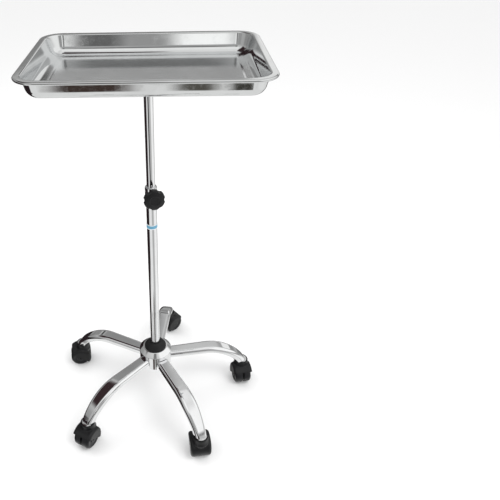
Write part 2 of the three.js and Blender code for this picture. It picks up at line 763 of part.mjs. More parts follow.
function wheelGeometry() {
  const recess = WHEEL_INNER + WHEEL_RECESS;
  const profile = [
    [AXLE_R + RUN, recess],
    [WHEEL_RECESS_R, recess],
    [WHEEL_RECESS_R, WHEEL_INNER],
    [WHEEL_R - 1.5, WHEEL_INNER],
    [WHEEL_R, WHEEL_INNER + 1.5],
    [WHEEL_R, WHEEL_OUTER - WHEEL_BEVEL],
    [WHEEL_R - WHEEL_BEVEL, WHEEL_OUTER],
    [AXLE_R + RUN, WHEEL_OUTER - 1.5],
    [AXLE_R + RUN, recess],
  ];
  const halfSide = Math.PI / WHEEL_SIDES;
  return turned(profile, WHEEL_SIDES).rotateZ(Math.PI / 2 + halfSide).rotateX(-Math.PI / 2);
}

function addCasters() {
  const hood = hoodGeometry();
  const wheel = wheelGeometry();
  const seat = SOCKET_BASE - GAP;
  const stemTop = SOCKET_BASE + STEM_IN_LEG;
  const stem = turned(
    [
      [0, seat - STEM_IN_HOOD + GAP],
      [STEM_R, seat - STEM_IN_HOOD + GAP],
      [STEM_R, stemTop - 1],
      [STEM_R - 1, stemTop],
      [0, stemTop],
    ],
    10,
  );
  const axle = rod(AXLE_R, -WHEEL_OUTER + 4, WHEEL_OUTER - 4, 10).rotateX(-Math.PI / 2);
  for (let i = 0; i < LEG_COUNT; i++) {
    const a = rad(FIRST_LEG_ANGLE + (i * 360) / LEG_COUNT);
    const x = LEG_REACH * Math.cos(a);
    const y = LEG_REACH * Math.sin(a);
    const caster = turnedGroup(CASTER_TURNS[i], x, y);
    const n = i + 1;
    add(`caster_stem_${n}`, stem.clone(), zinc, caster);
    add(`caster_hood_${n}`, hood.clone(), blackPlastic, caster);
    add(`caster_axle_${n}`, axle.clone(), zinc, caster).position.set(TRAIL, 0, AXLE_Z);
    const left = add(`wheel_left_${n}`, wheel.clone(), wheelNylon, caster);
    left.position.set(TRAIL, 0, AXLE_Z);
    const right = add(`wheel_right_${n}`, wheel.clone(), wheelNylon, caster);
    right.position.set(TRAIL, 0, AXLE_Z);
    right.rotation.z = Math.PI;
  }
}

addTrayAndCarrier();
addPost();
addClamp();
addHub();
addLegs();
addCasters();

// The origin is on the floor under the middle of the whole stand's box.
stand.updateMatrixWorld(true);
const middle = new THREE.Box3().setFromObject(stand, true).getCenter(new THREE.Vector3());
stand.position.set(-middle.x, -middle.y, 0);

export default stand;
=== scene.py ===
"""Fine surface of a wheeled instrument stand, built round its fixed frame."""

import json
import math
from contextlib import contextmanager

import bmesh
import bpy
from bpy.props import FloatProperty, FloatVectorProperty, IntProperty, PointerProperty
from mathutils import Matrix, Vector

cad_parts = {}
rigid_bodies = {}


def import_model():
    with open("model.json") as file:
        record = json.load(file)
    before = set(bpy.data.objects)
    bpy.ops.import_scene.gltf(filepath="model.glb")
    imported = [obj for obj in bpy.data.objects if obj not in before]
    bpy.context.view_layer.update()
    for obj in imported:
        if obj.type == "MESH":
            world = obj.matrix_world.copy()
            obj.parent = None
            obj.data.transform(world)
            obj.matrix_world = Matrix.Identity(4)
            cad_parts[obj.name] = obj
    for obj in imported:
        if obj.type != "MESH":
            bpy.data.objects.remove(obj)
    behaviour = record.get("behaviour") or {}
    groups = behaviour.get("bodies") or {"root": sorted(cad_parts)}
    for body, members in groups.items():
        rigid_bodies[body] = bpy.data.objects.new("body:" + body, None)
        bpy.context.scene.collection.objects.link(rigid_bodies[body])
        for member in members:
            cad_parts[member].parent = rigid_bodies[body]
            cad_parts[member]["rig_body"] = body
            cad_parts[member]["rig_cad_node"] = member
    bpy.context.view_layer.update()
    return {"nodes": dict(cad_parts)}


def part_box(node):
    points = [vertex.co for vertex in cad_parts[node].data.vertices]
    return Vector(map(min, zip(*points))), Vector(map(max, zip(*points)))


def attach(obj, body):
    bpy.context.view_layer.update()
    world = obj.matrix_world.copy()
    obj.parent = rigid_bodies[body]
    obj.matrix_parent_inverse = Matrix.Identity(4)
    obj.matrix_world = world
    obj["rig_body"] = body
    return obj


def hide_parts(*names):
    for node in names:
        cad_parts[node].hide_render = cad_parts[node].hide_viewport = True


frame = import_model()

bl_info = {
    "name": "Instrument stand",
    "version": (1, 0, 0),
    "blender": (4, 5, 0),
    "location": "View3D > Sidebar > Stand",
    "description": "Builds a tray stand on a telescoping post and a five-legged wheeled base",
    "category": "Object",
}

MM = 0.001
LEGS = 5
SHARP = math.radians(32)


# ---------------------------------------------------------------- places read from the frame


def middle(node):
    low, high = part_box(node)
    return (low + high) / 2


def post_axis():
    """The point on the floor under the post."""
    centre = middle("outer_tube")
    return Vector((centre.x, centre.y, 0))


def leg_turn(number):
    """Direction of a leg from the post, in radians round Z."""
    reach = middle(f"caster_stem_{number}") - post_axis()
    return math.atan2(reach.y, reach.x)


def caster_turn(number):
    """Direction in which a caster trails, in radians round Z."""
    trail = middle(f"caster_axle_{number}") - middle(f"caster_stem_{number}")
    return math.atan2(trail.y, trail.x)


# ---------------------------------------------------------------- sizes and colours


def size(name, description, default):
    return FloatProperty(name=name, description=description, default=default, unit="LENGTH")


def count(name, description, default):
    return IntProperty(name=name, description=description, default=default, min=3)


def colour(name, description, default):
    return FloatVectorProperty(
        name=name, description=description, default=default, subtype="COLOR", min=0, max=1
    )


def share(name, description, default):
    return FloatProperty(
        name=name, description=description, default=default, min=0, max=1, subtype="FACTOR"
    )


def angle(name, description, degrees):
    return FloatProperty(
        name=name, description=description, default=math.radians(degrees), unit="ROTATION"
    )


class StandTraySizes(bpy.types.PropertyGroup):
    sheet: size("Sheet", "Thickness of the tray's sheet", 0.9 * MM)
    corner: size("Corner", "Corner radius of the rim, seen from above", 48 * MM)
    corner_steps: count("Corner steps", "Segments in each corner", 14)
    flange: size("Flange", "Width of the flat flange and its roll", 15 * MM)
    roll: size("Roll", "Radius of the rolled rim", 3 * MM)
    shoulder: size("Shoulder", "Radius where the flange turns down into the wall", 3 * MM)
    draft: size("Draft", "How far a wall leans in on its way down", 5 * MM)
    fillet: size("Fillet", "Inside radius between wall and floor", 21 * MM)
    panel_inset: size("Panel inset", "From the rim to the pressed floor panel", 47 * MM)
    panel_corner: size("Panel corner", "Corner radius of the floor panel", 20 * MM)
    panel_step: size("Panel step", "Drop from the panel to the band round it", 0.8 * MM)


class StandPostSizes(bpy.types.PropertyGroup):
    sides: count("Sides", "Segments round a tube", 64)
    outer_wall: size("Outer wall", "Wall of the outer tube", 1.2 * MM)
    inner_wall: size("Inner wall", "Wall of the inner tube", 1.5 * MM)
    edge: size("Edge", "Rounding of a turned piece's edges", 0.6 * MM)
    collar_lip: size("Collar lip", "Depth of the lip over the outer tube", 3 * MM)
    boss: size("Boss", "Radius of the collar's screw boss", 9.5 * MM)
    boss_reach: size("Boss reach", "From the post's axis to the boss's face", 23 * MM)
    screw_drop: size("Screw drop", "Screw axis below the collar's top", 18 * MM)
    knob: size("Knob", "Radius of the knob over its lobes", 25 * MM)
    knob_lobes: count("Knob lobes", "Number of lobes", 6)
    knob_half: size("Knob half", "Half the thickness of the knob", 7.5 * MM)
    knob_face: size("Knob face", "Radius of the dished disc on the knob's face", 12.5 * MM)


class StandBaseSizes(bpy.types.PropertyGroup):
    leg_level: size("Level part", "Length of a leg's level part", 124 * MM)
    leg_start: size("Leg start", "From the post's axis to the leg's root", 23.7 * MM)
    leg_depth: size("Leg depth", "Thickness of a leg's level part", 19 * MM)
    leg_root: size("Root width", "Width of a leg at the hub", 33 * MM)
    leg_belly: size("Belly width", "Greatest width of a leg, in its bend", 39.5 * MM)
    leg_tip: size("Tip width", "Width of a leg above its caster", 31 * MM)
    tip_depth: size("Tip depth", "Thickness of a leg above its caster", 24 * MM)
    leg_corner: size("Leg corner", "Rounding of a leg's lower edges", 3.5 * MM)
    leg_shoulder: size("Leg shoulder", "Rounding of a leg's upper edges", 8.5 * MM)
    leg_wall: size("Leg wall", "Thickness of a leg's pressed sheet", 2.5 * MM)
    socket: size("Socket", "Radius of a leg's round end", 16.2 * MM)
    cover_wall: size("Cover wall", "Thickness of the moulded cover", 1.6 * MM)
    cover_top: size("Cover top", "Radius of the cover's flat top ring", 33 * MM)
    cover_hole: size("Cover hole", "Radius of the cover's opening", 28 * MM)
    cover_cone: size("Cover cone", "Height of the cover's sloped part", 11 * MM)
    window: size("Window", "Width of the window round a leg", 36 * MM)


class StandCasterSizes(bpy.types.PropertyGroup):
    wheel: size("Wheel", "Radius of a wheel", 29 * MM)
    air: size("Air", "Between a wheel and its hood", 1.5 * MM)
    wall: size("Hood wall", "Thickness of the hood", 2.3 * MM)
    web: size("Web", "Half thickness of the web between the wheels", 1.7 * MM)
    boss: size("Boss", "Radius of the web's thick middle", 20.5 * MM)
    boss_half: size("Boss half", "Half thickness of the web's thick middle", 4.5 * MM)
    cup: size("Cup", "Radius of the cup round the leg's end", 19.4 * MM)
    cup_wall: size("Cup wall", "Wall of the cup", 2.2 * MM)
    edge: size("Hood edge", "Rounding of the hood's outer edges", 7 * MM)
    skirt_front: size("Closed side", "Lowest point of the hood's closed side", 9 * MM)
    skirt_back: size("Open side", "Lowest point of the hood's open side", 50 * MM)
    pin: size("Axle hole", "Radius of the axle's hole", 4.3 * MM)
    stem: size("Stem hole", "Radius of the stem's hole", 5.8 * MM)
    overhang: size("Overhang", "How far past the axle the hood reaches over the wheels", 24.6 * MM)
    voxel: size("Voxel", "Grid on which the hood's body is blended", 1.1 * MM)
    blend: count("Blend", "Smoothing passes over the blended body", 14)


class StandFinishes(bpy.types.PropertyGroup):
    steel: colour("Steel", "Stainless steel", (0.72, 0.73, 0.735))
    chrome: colour("Chrome", "Chrome plate", (0.86, 0.865, 0.875))
    zinc: colour("Zinc", "Zinc plate", (0.58, 0.59, 0.6))
    plastic: colour("Black plastic", "Moulded black plastic", (0.0065, 0.0066, 0.0075))
    nylon: colour("Wheel nylon", "Dark wheel nylon", (0.0085, 0.0087, 0.0105))
    natural: colour("Natural nylon", "Undyed nylon", (0.78, 0.76, 0.71))
    rubber: colour("Rubber", "Dark rubber", (0.012, 0.012, 0.012))
    band: colour("Band", "Film of the band on the post", (0.13, 0.33, 0.47))
    floor: colour("Floor", "Studio floor", (0.9, 0.9, 0.9))
    steel_gloss: share("Steel roughness", "Roughness of the tray's walls", 0.04)
    chrome_gloss: share("Chrome roughness", "Roughness of the chrome", 0.045)


class StandStageSizes(bpy.types.PropertyGroup):
    lens: FloatProperty(name="Lens", description="Focal length", default=39.2, unit="CAMERA")
    shift: FloatProperty(name="Shift", description="Sideways lens shift", default=0.185)
    tilt: angle("Tilt", "Camera pitch from straight down", 54.99)
    roll: angle("Roll", "Camera roll", 1.04)
    pan: angle("Pan", "Camera turn round Z", 0.93)
    side: size("Side", "Camera to the right of the post", 0.044)
    back: size("Back", "Camera in front of the post", 1.1073)
    height: size("Height", "Camera above the floor", 1.2782)


# ---------------------------------------------------------------- modelling by operators


def clear_selection():
    if bpy.context.mode != "OBJECT":
        bpy.ops.object.mode_set(mode="OBJECT")
    bpy.ops.object.select_all(action="DESELECT")


def pick(*pieces):
    """Selects these objects only; the last one is active."""
    clear_selection()
    for piece in pieces:
        piece.select_set(True)
    bpy.context.view_layer.objects.active = pieces[-1]


def newest(name):
    """Names the primitive that was just added."""
    piece = bpy.context.object
    piece.name = name
    piece.data.name = name
    return piece


@contextmanager
def editing(piece, kind="FACE"):
    pick(piece)
    bpy.ops.object.mode_set(mode="EDIT")
    bpy.ops.mesh.select_mode(type=kind)
    yield
    bpy.ops.object.mode_set(mode="OBJECT")


def choose(piece, kind, test):
    """In edit mode, selects the verts, edges or faces that pass a test."""
    bpy.ops.mesh.select_all(action="DESELECT")
    mesh = bmesh.from_edit_mesh(piece.data)
    for item in getattr(mesh, kind):
        if test(item):
            item.select_set(True)
    bmesh.update_edit_mesh(piece.data)


def modify(piece, kind, **settings):
    """Adds a modifier and applies it."""
    pick(piece)
    modifier = piece.modifiers.new(kind.title(), kind)
    for key, value in settings.items():
        setattr(modifier, key, value)
    bpy.ops.object.modifier_apply(modifier=modifier.name)
    return piece


def round_edges(piece, width, segments=2, sharp=SHARP):
    return modify(
        piece, "BEVEL", width=width, segments=segments, limit_method="ANGLE",
        angle_limit=sharp, miter_outer="MITER_ARC", use_clamp_overlap=True,
    )


def combine(piece, tool, operation):
    """Joins, cuts or keeps the overlap of a piece with a tool, which is used up."""
    modify(piece, "BOOLEAN", object=tool, operation=operation, solver="EXACT")
    bpy.data.objects.remove(tool)
    return piece


def cut(piece, tool):
    return combine(piece, tool, "DIFFERENCE")


def settle(piece, place=(0, 0, 0), turn=0.0):
    """Puts a piece made at the origin in its place, and leaves that place in its mesh."""
    pick(piece)
    piece.location = Vector(place) + piece.location
    piece.rotation_euler.z += turn
    bpy.ops.object.transform_apply(location=True, rotation=True, scale=True)
    return piece


def smooth(piece, sharp=SHARP):
    """Smooth shading that keeps flat faces flat beside their rounded edges."""
    pick(piece)
    bpy.ops.object.shade_smooth_by_angle(angle=sharp)
    return modify(piece, "WEIGHTED_NORMAL", mode="FACE_AREA", weight=50, keep_sharp=True)


def outward(piece):
    """Merges doubles and turns all faces out."""
    with editing(piece, "VERT"):
        bpy.ops.mesh.select_all(action="SELECT")
        bpy.ops.mesh.remove_doubles(threshold=0.00001)
        bpy.ops.mesh.normals_make_consistent(inside=False)
    return piece


def turned(name, profile, sides=64):
    """Grows a body of revolution about Z from a disc, ring by ring. A profile that comes
    back to its first point leaves a hollow ring."""
    first_r, first_z = profile[0]
    bpy.ops.mesh.primitive_circle_add(
        vertices=sides, radius=first_r, fill_type="NGON", location=(0, 0, first_z)
    )
    piece = settle(newest(name))
    ring_shaped = profile[0] == profile[-1]
    with editing(piece):
        bpy.ops.mesh.select_all(action="SELECT")
        for (r0, z0), (r1, z1) in zip(profile, profile[1:]):
            bpy.ops.mesh.extrude_region_move(TRANSFORM_OT_translate={"value": (0, 0, z1 - z0)})
            bpy.ops.transform.resize(value=(r1 / r0, r1 / r0, 1), center_override=(0, 0, 0))
        if ring_shaped:
            choose(piece, "faces", lambda face: len(face.verts) == sides)
            bpy.ops.mesh.delete(type="ONLY_FACE")
    return outward(piece)


def rod(name, radius, low, high, sides=48):
    bpy.ops.mesh.primitive_cylinder_add(
        vertices=sides, radius=radius, depth=high - low, location=(0, 0, (low + high) / 2)
    )
    return settle(newest(name))


def cross_rod(name, radius, low, high, centre, sides=64):
    """A plain round bar along Y through a point in the XZ plane."""
    bpy.ops.mesh.primitive_cylinder_add(
        vertices=sides, radius=radius, depth=high - low,
        location=(centre[0], (low + high) / 2, centre[1]), rotation=(math.pi / 2, 0, 0),
    )
    return settle(newest(name))


def box_between(name, low, high):
    low, high = Vector(low), Vector(high)
    bpy.ops.mesh.primitive_cube_add(size=1, location=(low + high) / 2, scale=high - low)
    return settle(newest(name))


def upright_slab(name, outline, back, front):
    """A slab whose outline is given in the XZ plane, from one Y to another."""
    bpy.ops.mesh.primitive_plane_add(size=1)
    piece = settle(newest(name))
    with editing(piece, "VERT"):
        choose(piece, "verts", lambda v: v.co.x < 0 or v.co.y < 0)
        bpy.ops.mesh.delete(type="VERT")
        bpy.ops.mesh.select_all(action="SELECT")
        last = Vector((0.5, 0.5, 0))
        for x, z in outline:
            point = Vector((x, back, z))
            if last.x == 0.5 and last.y == 0.5:
                bpy.ops.transform.translate(value=point - last)
            else:
                bpy.ops.mesh.extrude_region_move(TRANSFORM_OT_translate={"value": point - last})
            last = point
        bpy.ops.mesh.select_all(action="SELECT")
        bpy.ops.mesh.edge_face_add()
        bpy.ops.mesh.extrude_region_move(TRANSFORM_OT_translate={"value": (0, front - back, 0)})
        bpy.ops.mesh.select_all(action="SELECT")
        bpy.ops.mesh.normals_make_consistent(inside=False)
    return piece


def lay_along_x(piece):
    """Turns a piece made about Z so that its axis lies along +X."""
    piece.rotation_euler.y = math.pi / 2
    return settle(piece)


def rounded_plate(name, half_x, half_y, corner, z, steps, rounded=lambda vert: True):
    """A level rectangle, one face, with the corners that pass a test rounded."""
    bpy.ops.mesh.primitive_plane_add(size=1, location=(0, 0, z), scale=(1, 1, 1))
    piece = newest(name)
    piece.scale = (2 * half_x, 2 * half_y, 1)
    settle(piece)
    with editing(piece, "VERT"):
        choose(piece, "verts", rounded)
        bpy.ops.mesh.bevel(offset=corner, segments=steps, affect="VERTICES", clamp_overlap=False)
    return piece


def inset_along(points):
    """Insets the selected face along a profile of [inset, height] points."""
    for (i0, h0), (i1, h1) in zip(points, points[1:]):
        if i1 - i0 > 1e-6:
            bpy.ops.mesh.inset(thickness=i1 - i0, depth=h1 - h0, use_even_offset=True)
        else:
            bpy.ops.mesh.extrude_region_move(TRANSFORM_OT_translate={"value": (0, 0, h1 - h0)})


def arc(centre, radius, start, end, steps):
    """Points of [inset, height] on an arc, angles in degrees."""
    points = []
    for i in range(steps + 1):
        a = math.radians(start + (end - start) * i / steps)
        points.append((centre[0] + radius * math.cos(a), centre[1] + radius * math.sin(a)))
    return points


def copied(piece, name):
    """A copy with a mesh of its own."""
    twin = piece.copy()
    twin.data = piece.data.copy()
    twin.name = name
    twin.data.name = name
    bpy.context.scene.collection.objects.link(twin)
    return twin


def finish_piece(piece, material, body, slot, *nodes):
    """Gives a finished piece its material and its body, and hides the frame pieces it stands for."""
    piece.data.materials.clear()
    piece.data.materials.append(material)
    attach(piece, body)
    if nodes:
        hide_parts(*nodes)
    return piece


def refined(node, material, slot, edge=0.5 * MM):
    """A merged copy of a plain frame piece, with its edges rounded."""
    original = frame["nodes"][node]
    body = original["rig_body"]
    piece = original.copy()
    piece.data = original.data.copy()
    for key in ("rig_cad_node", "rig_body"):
        if key in piece:
            del piece[key]
    piece.parent = None
    piece.name = f"{node}_fine"
    bpy.context.scene.collection.objects.link(piece)
    with editing(piece, "VERT"):
        bpy.ops.mesh.select_all(action="SELECT")
        bpy.ops.mesh.remove_doubles(threshold=0.00001)
        bpy.ops.mesh.dissolve_limited(angle_limit=math.radians(1))
    round_edges(piece, edge, 2)
    smooth(piece)
    return finish_piece(piece, material, body, slot, node)


# ---------------------------------------------------------------- shared shader groups


def new_group(name, inputs, outputs):
    """A node group with named inputs [name, type, default] and outputs [name, type]."""
    tree = bpy.data.node_groups.new(name, "ShaderNodeTree")
    for socket, kind, default in inputs:
        made = tree.interface.new_socket(name=socket, in_out="INPUT", socket_type=kind)
        if default is not None:
            made.default_value = default
    for socket, kind in outputs:
        tree.interface.new_socket(name=socket, in_out="OUTPUT", socket_type=kind)
    return tree, tree.nodes.new("NodeGroupInput"), tree.nodes.new("NodeGroupOutput")


def add_node(tree, kind, **settings):
    node = tree.nodes.new(kind)
    for key, value in settings.items():
        setattr(node, key, value)
    return node


def noise(tree, vector, scale, detail=4.0, roughness=0.55):
    """A noise texture read at a vector; a scale can be a number or a socket."""
    node = add_node(tree, "ShaderNodeTexNoise")
    node.inputs["Detail"].default_value = detail
    node.inputs["Roughness"].default_value = roughness
    tree.links.new(vector, node.inputs["Vector"])
    if isinstance(scale, (int, float)):
        node.inputs["Scale"].default_value = scale
    else:
        tree.links.new(scale, node.inputs["Scale"])
    return node.outputs["Fac"]


def spread(tree, value, low, high, to_low, to_high):
    """Maps a value smoothly from one range to another; the ends may be sockets."""
    node = add_node(tree, "ShaderNodeMapRange", interpolation_type="SMOOTHSTEP")
    tree.links.new(value, node.inputs["Value"])
    ends = {"From Min": low, "From Max": high, "To Min": to_low, "To Max": to_high}
    for socket, end in ends.items():
        if isinstance(end, (int, float)):
            node.inputs[socket].default_value = end
        else:
            tree.links.new(end, node.inputs[socket])
    return node.outputs["Result"]


def plated_group():
    """Slight waviness and faint wiping marks of a polished metal surface."""
    tree, given, made = new_group(
        "Plated surface",
        [
            ("Vector", "NodeSocketVector", None),
            ("Stretch", "NodeSocketVector", (1, 1, 1)),
            ("Wave size", "NodeSocketFloat", 30),
            ("Wave depth", "NodeSocketFloat", 0.02),
            ("Clean", "NodeSocketFloat", 0.05),
            ("Wiped", "NodeSocketFloat", 0.1),
        ],
        [
            ("Roughness", "NodeSocketFloat"), ("Normal", "NodeSocketVector"),
            ("Tone", "NodeSocketFloat"),
        ],
    )
    scaled = add_node(tree, "ShaderNodeVectorMath", operation="MULTIPLY")
    tree.links.new(given.outputs["Vector"], scaled.inputs[0])
    tree.links.new(given.outputs["Stretch"], scaled.inputs[1])
    place = scaled.outputs["Vector"]
    marks = noise(tree, place, 55, detail=8, roughness=0.7)
    wipe = spread(tree, marks, 0.42, 0.68, given.outputs["Clean"], given.outputs["Wiped"])
    tree.links.new(wipe, made.inputs["Roughness"])
    wave = noise(tree, place, given.outputs["Wave size"], detail=1.5)
    bump = add_node(tree, "ShaderNodeBump")
    bump.inputs["Distance"].default_value = 1 * MM
    tree.links.new(given.outputs["Wave depth"], bump.inputs["Strength"])
    tree.links.new(wave, bump.inputs["Height"])
    tree.links.new(bump.outputs["Normal"], made.inputs["Normal"])
    tone = spread(tree, noise(tree, given.outputs["Vector"], 14, detail=3), 0.3, 0.7, 0.0, 1.0)
    tree.links.new(tone, made.inputs["Tone"])
    return tree


def moulded_group():
    """Fine spark-eroded texture of moulded plastic, with rubbed patches and settled dust."""
    tree, given, made = new_group(
        "Moulded surface",
        [
            ("Vector", "NodeSocketVector", None),
            ("Grain size", "NodeSocketFloat", 900),
            ("Grain depth", "NodeSocketFloat", 0.15),
            ("Rubbed", "NodeSocketFloat", 0.35),
            ("Matt", "NodeSocketFloat", 0.55),
            ("Dust", "NodeSocketFloat", 0.1),
        ],
        [
            ("Roughness", "NodeSocketFloat"), ("Normal", "NodeSocketVector"),
            ("Dust", "NodeSocketFloat"),
        ],
    )
    vector = given.outputs["Vector"]
    grain = noise(tree, vector, given.outputs["Grain size"], detail=3, roughness=0.6)
    bump = add_node(tree, "ShaderNodeBump")
    bump.inputs["Distance"].default_value = 0.25 * MM
    tree.links.new(given.outputs["Grain depth"], bump.inputs["Strength"])
    tree.links.new(grain, bump.inputs["Height"])
    tree.links.new(bump.outputs["Normal"], made.inputs["Normal"])
    patch = noise(tree, vector, 60, detail=5, roughness=0.65)
    rough = spread(tree, patch, 0.35, 0.65, given.outputs["Rubbed"], given.outputs["Matt"])
    tree.links.new(rough, made.inputs["Roughness"])
    facing = add_node(tree, "ShaderNodeNewGeometry")
    split = add_node(tree, "ShaderNodeSeparateXYZ")
    tree.links.new(facing.outputs["Normal"], split.inputs["Vector"])
    upward = spread(tree, split.outputs["Z"], 0.2, 1.0, 0.0, given.outputs["Dust"])
    speckle = spread(tree, noise(tree, vector, 240, detail=6, roughness=0.7), 0.4, 0.75, 0.3, 1.0)
    both = add_node(tree, "ShaderNodeMath", operation="MULTIPLY")
    tree.links.new(upward, both.inputs[0])
    tree.links.new(speckle, both.inputs[1])
    tree.links.new(both.outputs["Value"], made.inputs["Dust"])
    return tree


class Finish:
    """A material being made: its tree, its shader and its place on the piece."""

    def __init__(self, name):
        self.material = bpy.data.materials.new(name)
        self.material.use_nodes = True
        self.tree = self.material.node_tree
        self.tree.nodes.clear()
        output = self.tree.nodes.new("ShaderNodeOutputMaterial")
        self.shader = self.tree.nodes.new("ShaderNodeBsdfPrincipled")
        self.tree.links.new(self.shader.outputs["BSDF"], output.inputs["Surface"])
        self.place = self.tree.nodes.new("ShaderNodeTexCoord").outputs["Object"]

    def group(self, name, values):
        """Places a shared group, feeds it the object's coordinates and sets its inputs."""
        node = self.tree.nodes.new("ShaderNodeGroup")
        node.node_tree = bpy.data.node_groups[name]
        self.tree.links.new(self.place, node.inputs["Vector"])
        for key, value in values.items():
            node.inputs[key].default_value = value
        return node

    def feed(self, source, socket):
        self.tree.links.new(source, self.shader.inputs[socket])

    def mixed(self, mask, one, other):
        """A colour that goes from one to another with a mask; either may be a socket."""
        node = add_node(self.tree, "ShaderNodeMix", data_type="RGBA")
        self.tree.links.new(mask, node.inputs["Factor"])
        for socket, value in (("A", one), ("B", other)):
            slot = next(s for s in node.inputs if s.name == socket and s.type == "RGBA")
            if isinstance(value, bpy.types.NodeSocket):
                self.tree.links.new(value, slot)
            else:
                slot.default_value = (*value, 1)
        return next(s for s in node.outputs if s.type == "RGBA")

    def height(self):
        split = add_node(self.tree, "ShaderNodeSeparateXYZ")
        self.tree.links.new(self.place, split.inputs["Vector"])
        return split.outputs["Z"]


def dimmed(tint, factor):
    return tuple(channel * factor for channel in tint)


def plated_finish(name, tint, clean, wiped, depth=0.02, stretch=(1, 1, 1), wave=30, dark=0.93):
    """Bright metal: chrome, zinc, or a chromed moulding."""
    finish = Finish(name)
    surface = finish.group(
        "Plated surface",
        {"Stretch": stretch, "Wave size": wave, "Wave depth": depth, "Clean": clean, "Wiped": wiped},
    )
    finish.shader.inputs["Metallic"].default_value = 1
    finish.feed(finish.mixed(surface.outputs["Tone"], dimmed(tint, dark), tint), "Base Color")
    finish.feed(surface.outputs["Roughness"], "Roughness")
    finish.feed(surface.outputs["Normal"], "Normal")
    return finish


def moulded_finish(name, tint, rubbed, matt, grain=900, depth=0.15, dust=0.06):
    """Moulded plastic or rubber, with a little dust on what faces up."""
    finish = Finish(name)
    surface = finish.group(
        "Moulded surface",
        {"Grain size": grain, "Grain depth": depth, "Rubbed": rubbed, "Matt": matt, "Dust": dust},
    )
    pale = tuple(channel * 0.6 + 0.25 for channel in tint)
    finish.feed(finish.mixed(surface.outputs["Dust"], tint, pale), "Base Color")
    finish.feed(surface.outputs["Roughness"], "Roughness")
    finish.feed(surface.outputs["Normal"], "Normal")
    finish.shader.inputs["Specular IOR Level"].default_value = 0.35
    return finish


def tray_finish():
    """Polished walls and flange, and a satin floor with fine lengthwise lines."""
    colours = bpy.context.scene.stand_finishes
    finish = plated_finish("tray_steel", colours.steel, colours.steel_gloss, 0.11, 0.05, (1, 1, 1), 16)
    tree = finish.tree
    polished = finish.shader.inputs["Roughness"].links[0].from_socket
    stretched = add_node(tree, "ShaderNodeMapping")
    stretched.inputs["Scale"].default_value = (6, 260, 1)
    tree.links.new(finish.place, stretched.inputs["Vector"])
    lines = noise(tree, stretched.outputs["Vector"], 4, detail=5, roughness=0.6)
    satin = spread(tree, lines, 0.3, 0.7, 0.1, 0.17)
    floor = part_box("tray")[0].z + 1 * MM
    low = spread(tree, finish.height(), floor + 0.5 * MM, floor + 3 * MM, 1.0, 0.0)
    blend = add_node(tree, "ShaderNodeMix", data_type="FLOAT")
    tree.links.new(low, blend.inputs["Factor"])
    tree.links.new(polished, blend.inputs["A"])
    tree.links.new(satin, blend.inputs["B"])
    finish.feed(blend.outputs["Result"], "Roughness")
    return finish.material


def band_finish():
    """Blue film with a pale border along both edges."""
    colours = bpy.context.scene.stand_finishes
    low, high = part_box("label_band")
    finish = moulded_finish("band_film", colours.band, 0.3, 0.4, 1500, 0.03, 0.0)
    border = 1.6 * MM
    z = finish.height()
    under = spread(finish.tree, z, low.z + border, low.z + border + 0.3 * MM, 1.0, 0.0)
    over = spread(finish.tree, z, high.z - border - 0.3 * MM, high.z - border, 0.0, 1.0)
    edge = add_node(finish.tree, "ShaderNodeMath", operation="MAXIMUM")
    finish.tree.links.new(under, edge.inputs[0])
    finish.tree.links.new(over, edge.inputs[1])
    finish.feed(finish.mixed(edge.outputs["Value"], colours.band, (0.8, 0.82, 0.83)), "Base Color")
    return finish.material


def make_finishes():
    """All materials of the stand, by name."""
    colours = bpy.context.scene.stand_finishes
    plated_group()
    moulded_group()
    tray_finish()
    band_finish()
    gloss = colours.chrome_gloss
    plated_finish("tube_chrome", colours.chrome, gloss, 0.1, 0.02, (1, 1, 0.25), 22)
    plated_finish("leg_chrome", colours.chrome, gloss, 0.1, 0.06, (1, 1, 1), 18)
    plated_finish("cover_chrome", colours.chrome, 0.03, 0.07, 0.05, (1, 1, 1), 60)
    plated_finish("zinc_plate", colours.zinc, 0.32, 0.45, 0.25, (1, 1, 1), 300, 0.8)
    moulded_finish("hood_plastic", colours.plastic, 0.3, 0.44, 1100, 0.12, 0.012)
    moulded_finish("cap_plastic", dimmed(colours.plastic, 0.9), 0.42, 0.56, 700, 0.35, 0.015)
    moulded_finish("wheel_nylon", colours.nylon, 0.3, 0.46, 500, 0.1, 0.02)
    moulded_finish("natural_nylon", colours.natural, 0.4, 0.5, 600, 0.08, 0.0)
    moulded_finish("foot_rubber", colours.rubber, 0.6, 0.8, 800, 0.3, 0.05)


def material(name):
    return bpy.data.materials[name]


# ---------------------------------------------------------------- tray


def tray_profile():
    """[inset, height] points of the sheet's upper face, from the rim's widest line inwards."""
    sizes = bpy.context.scene.stand_tray
    low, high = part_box("tray")
    depth = high.z - low.z - sizes.sheet
    roll = sizes.roll
    points = arc((roll, -roll), roll, 180, 90, 6)
    shoulder = sizes.shoulder
    points += arc((sizes.flange - shoulder, -shoulder), shoulder, 90, 12, 5)
    foot = sizes.flange + sizes.draft
    points += arc((foot + sizes.fillet, sizes.fillet - depth), sizes.fillet, 188, 270, 10)
    return points


def rolled_edge():
    """[inset, height] points of the rim's underside, from its widest line inwards."""
    roll = bpy.context.scene.stand_tray.roll
    return arc((roll, -roll), roll, 180, 340, 10)


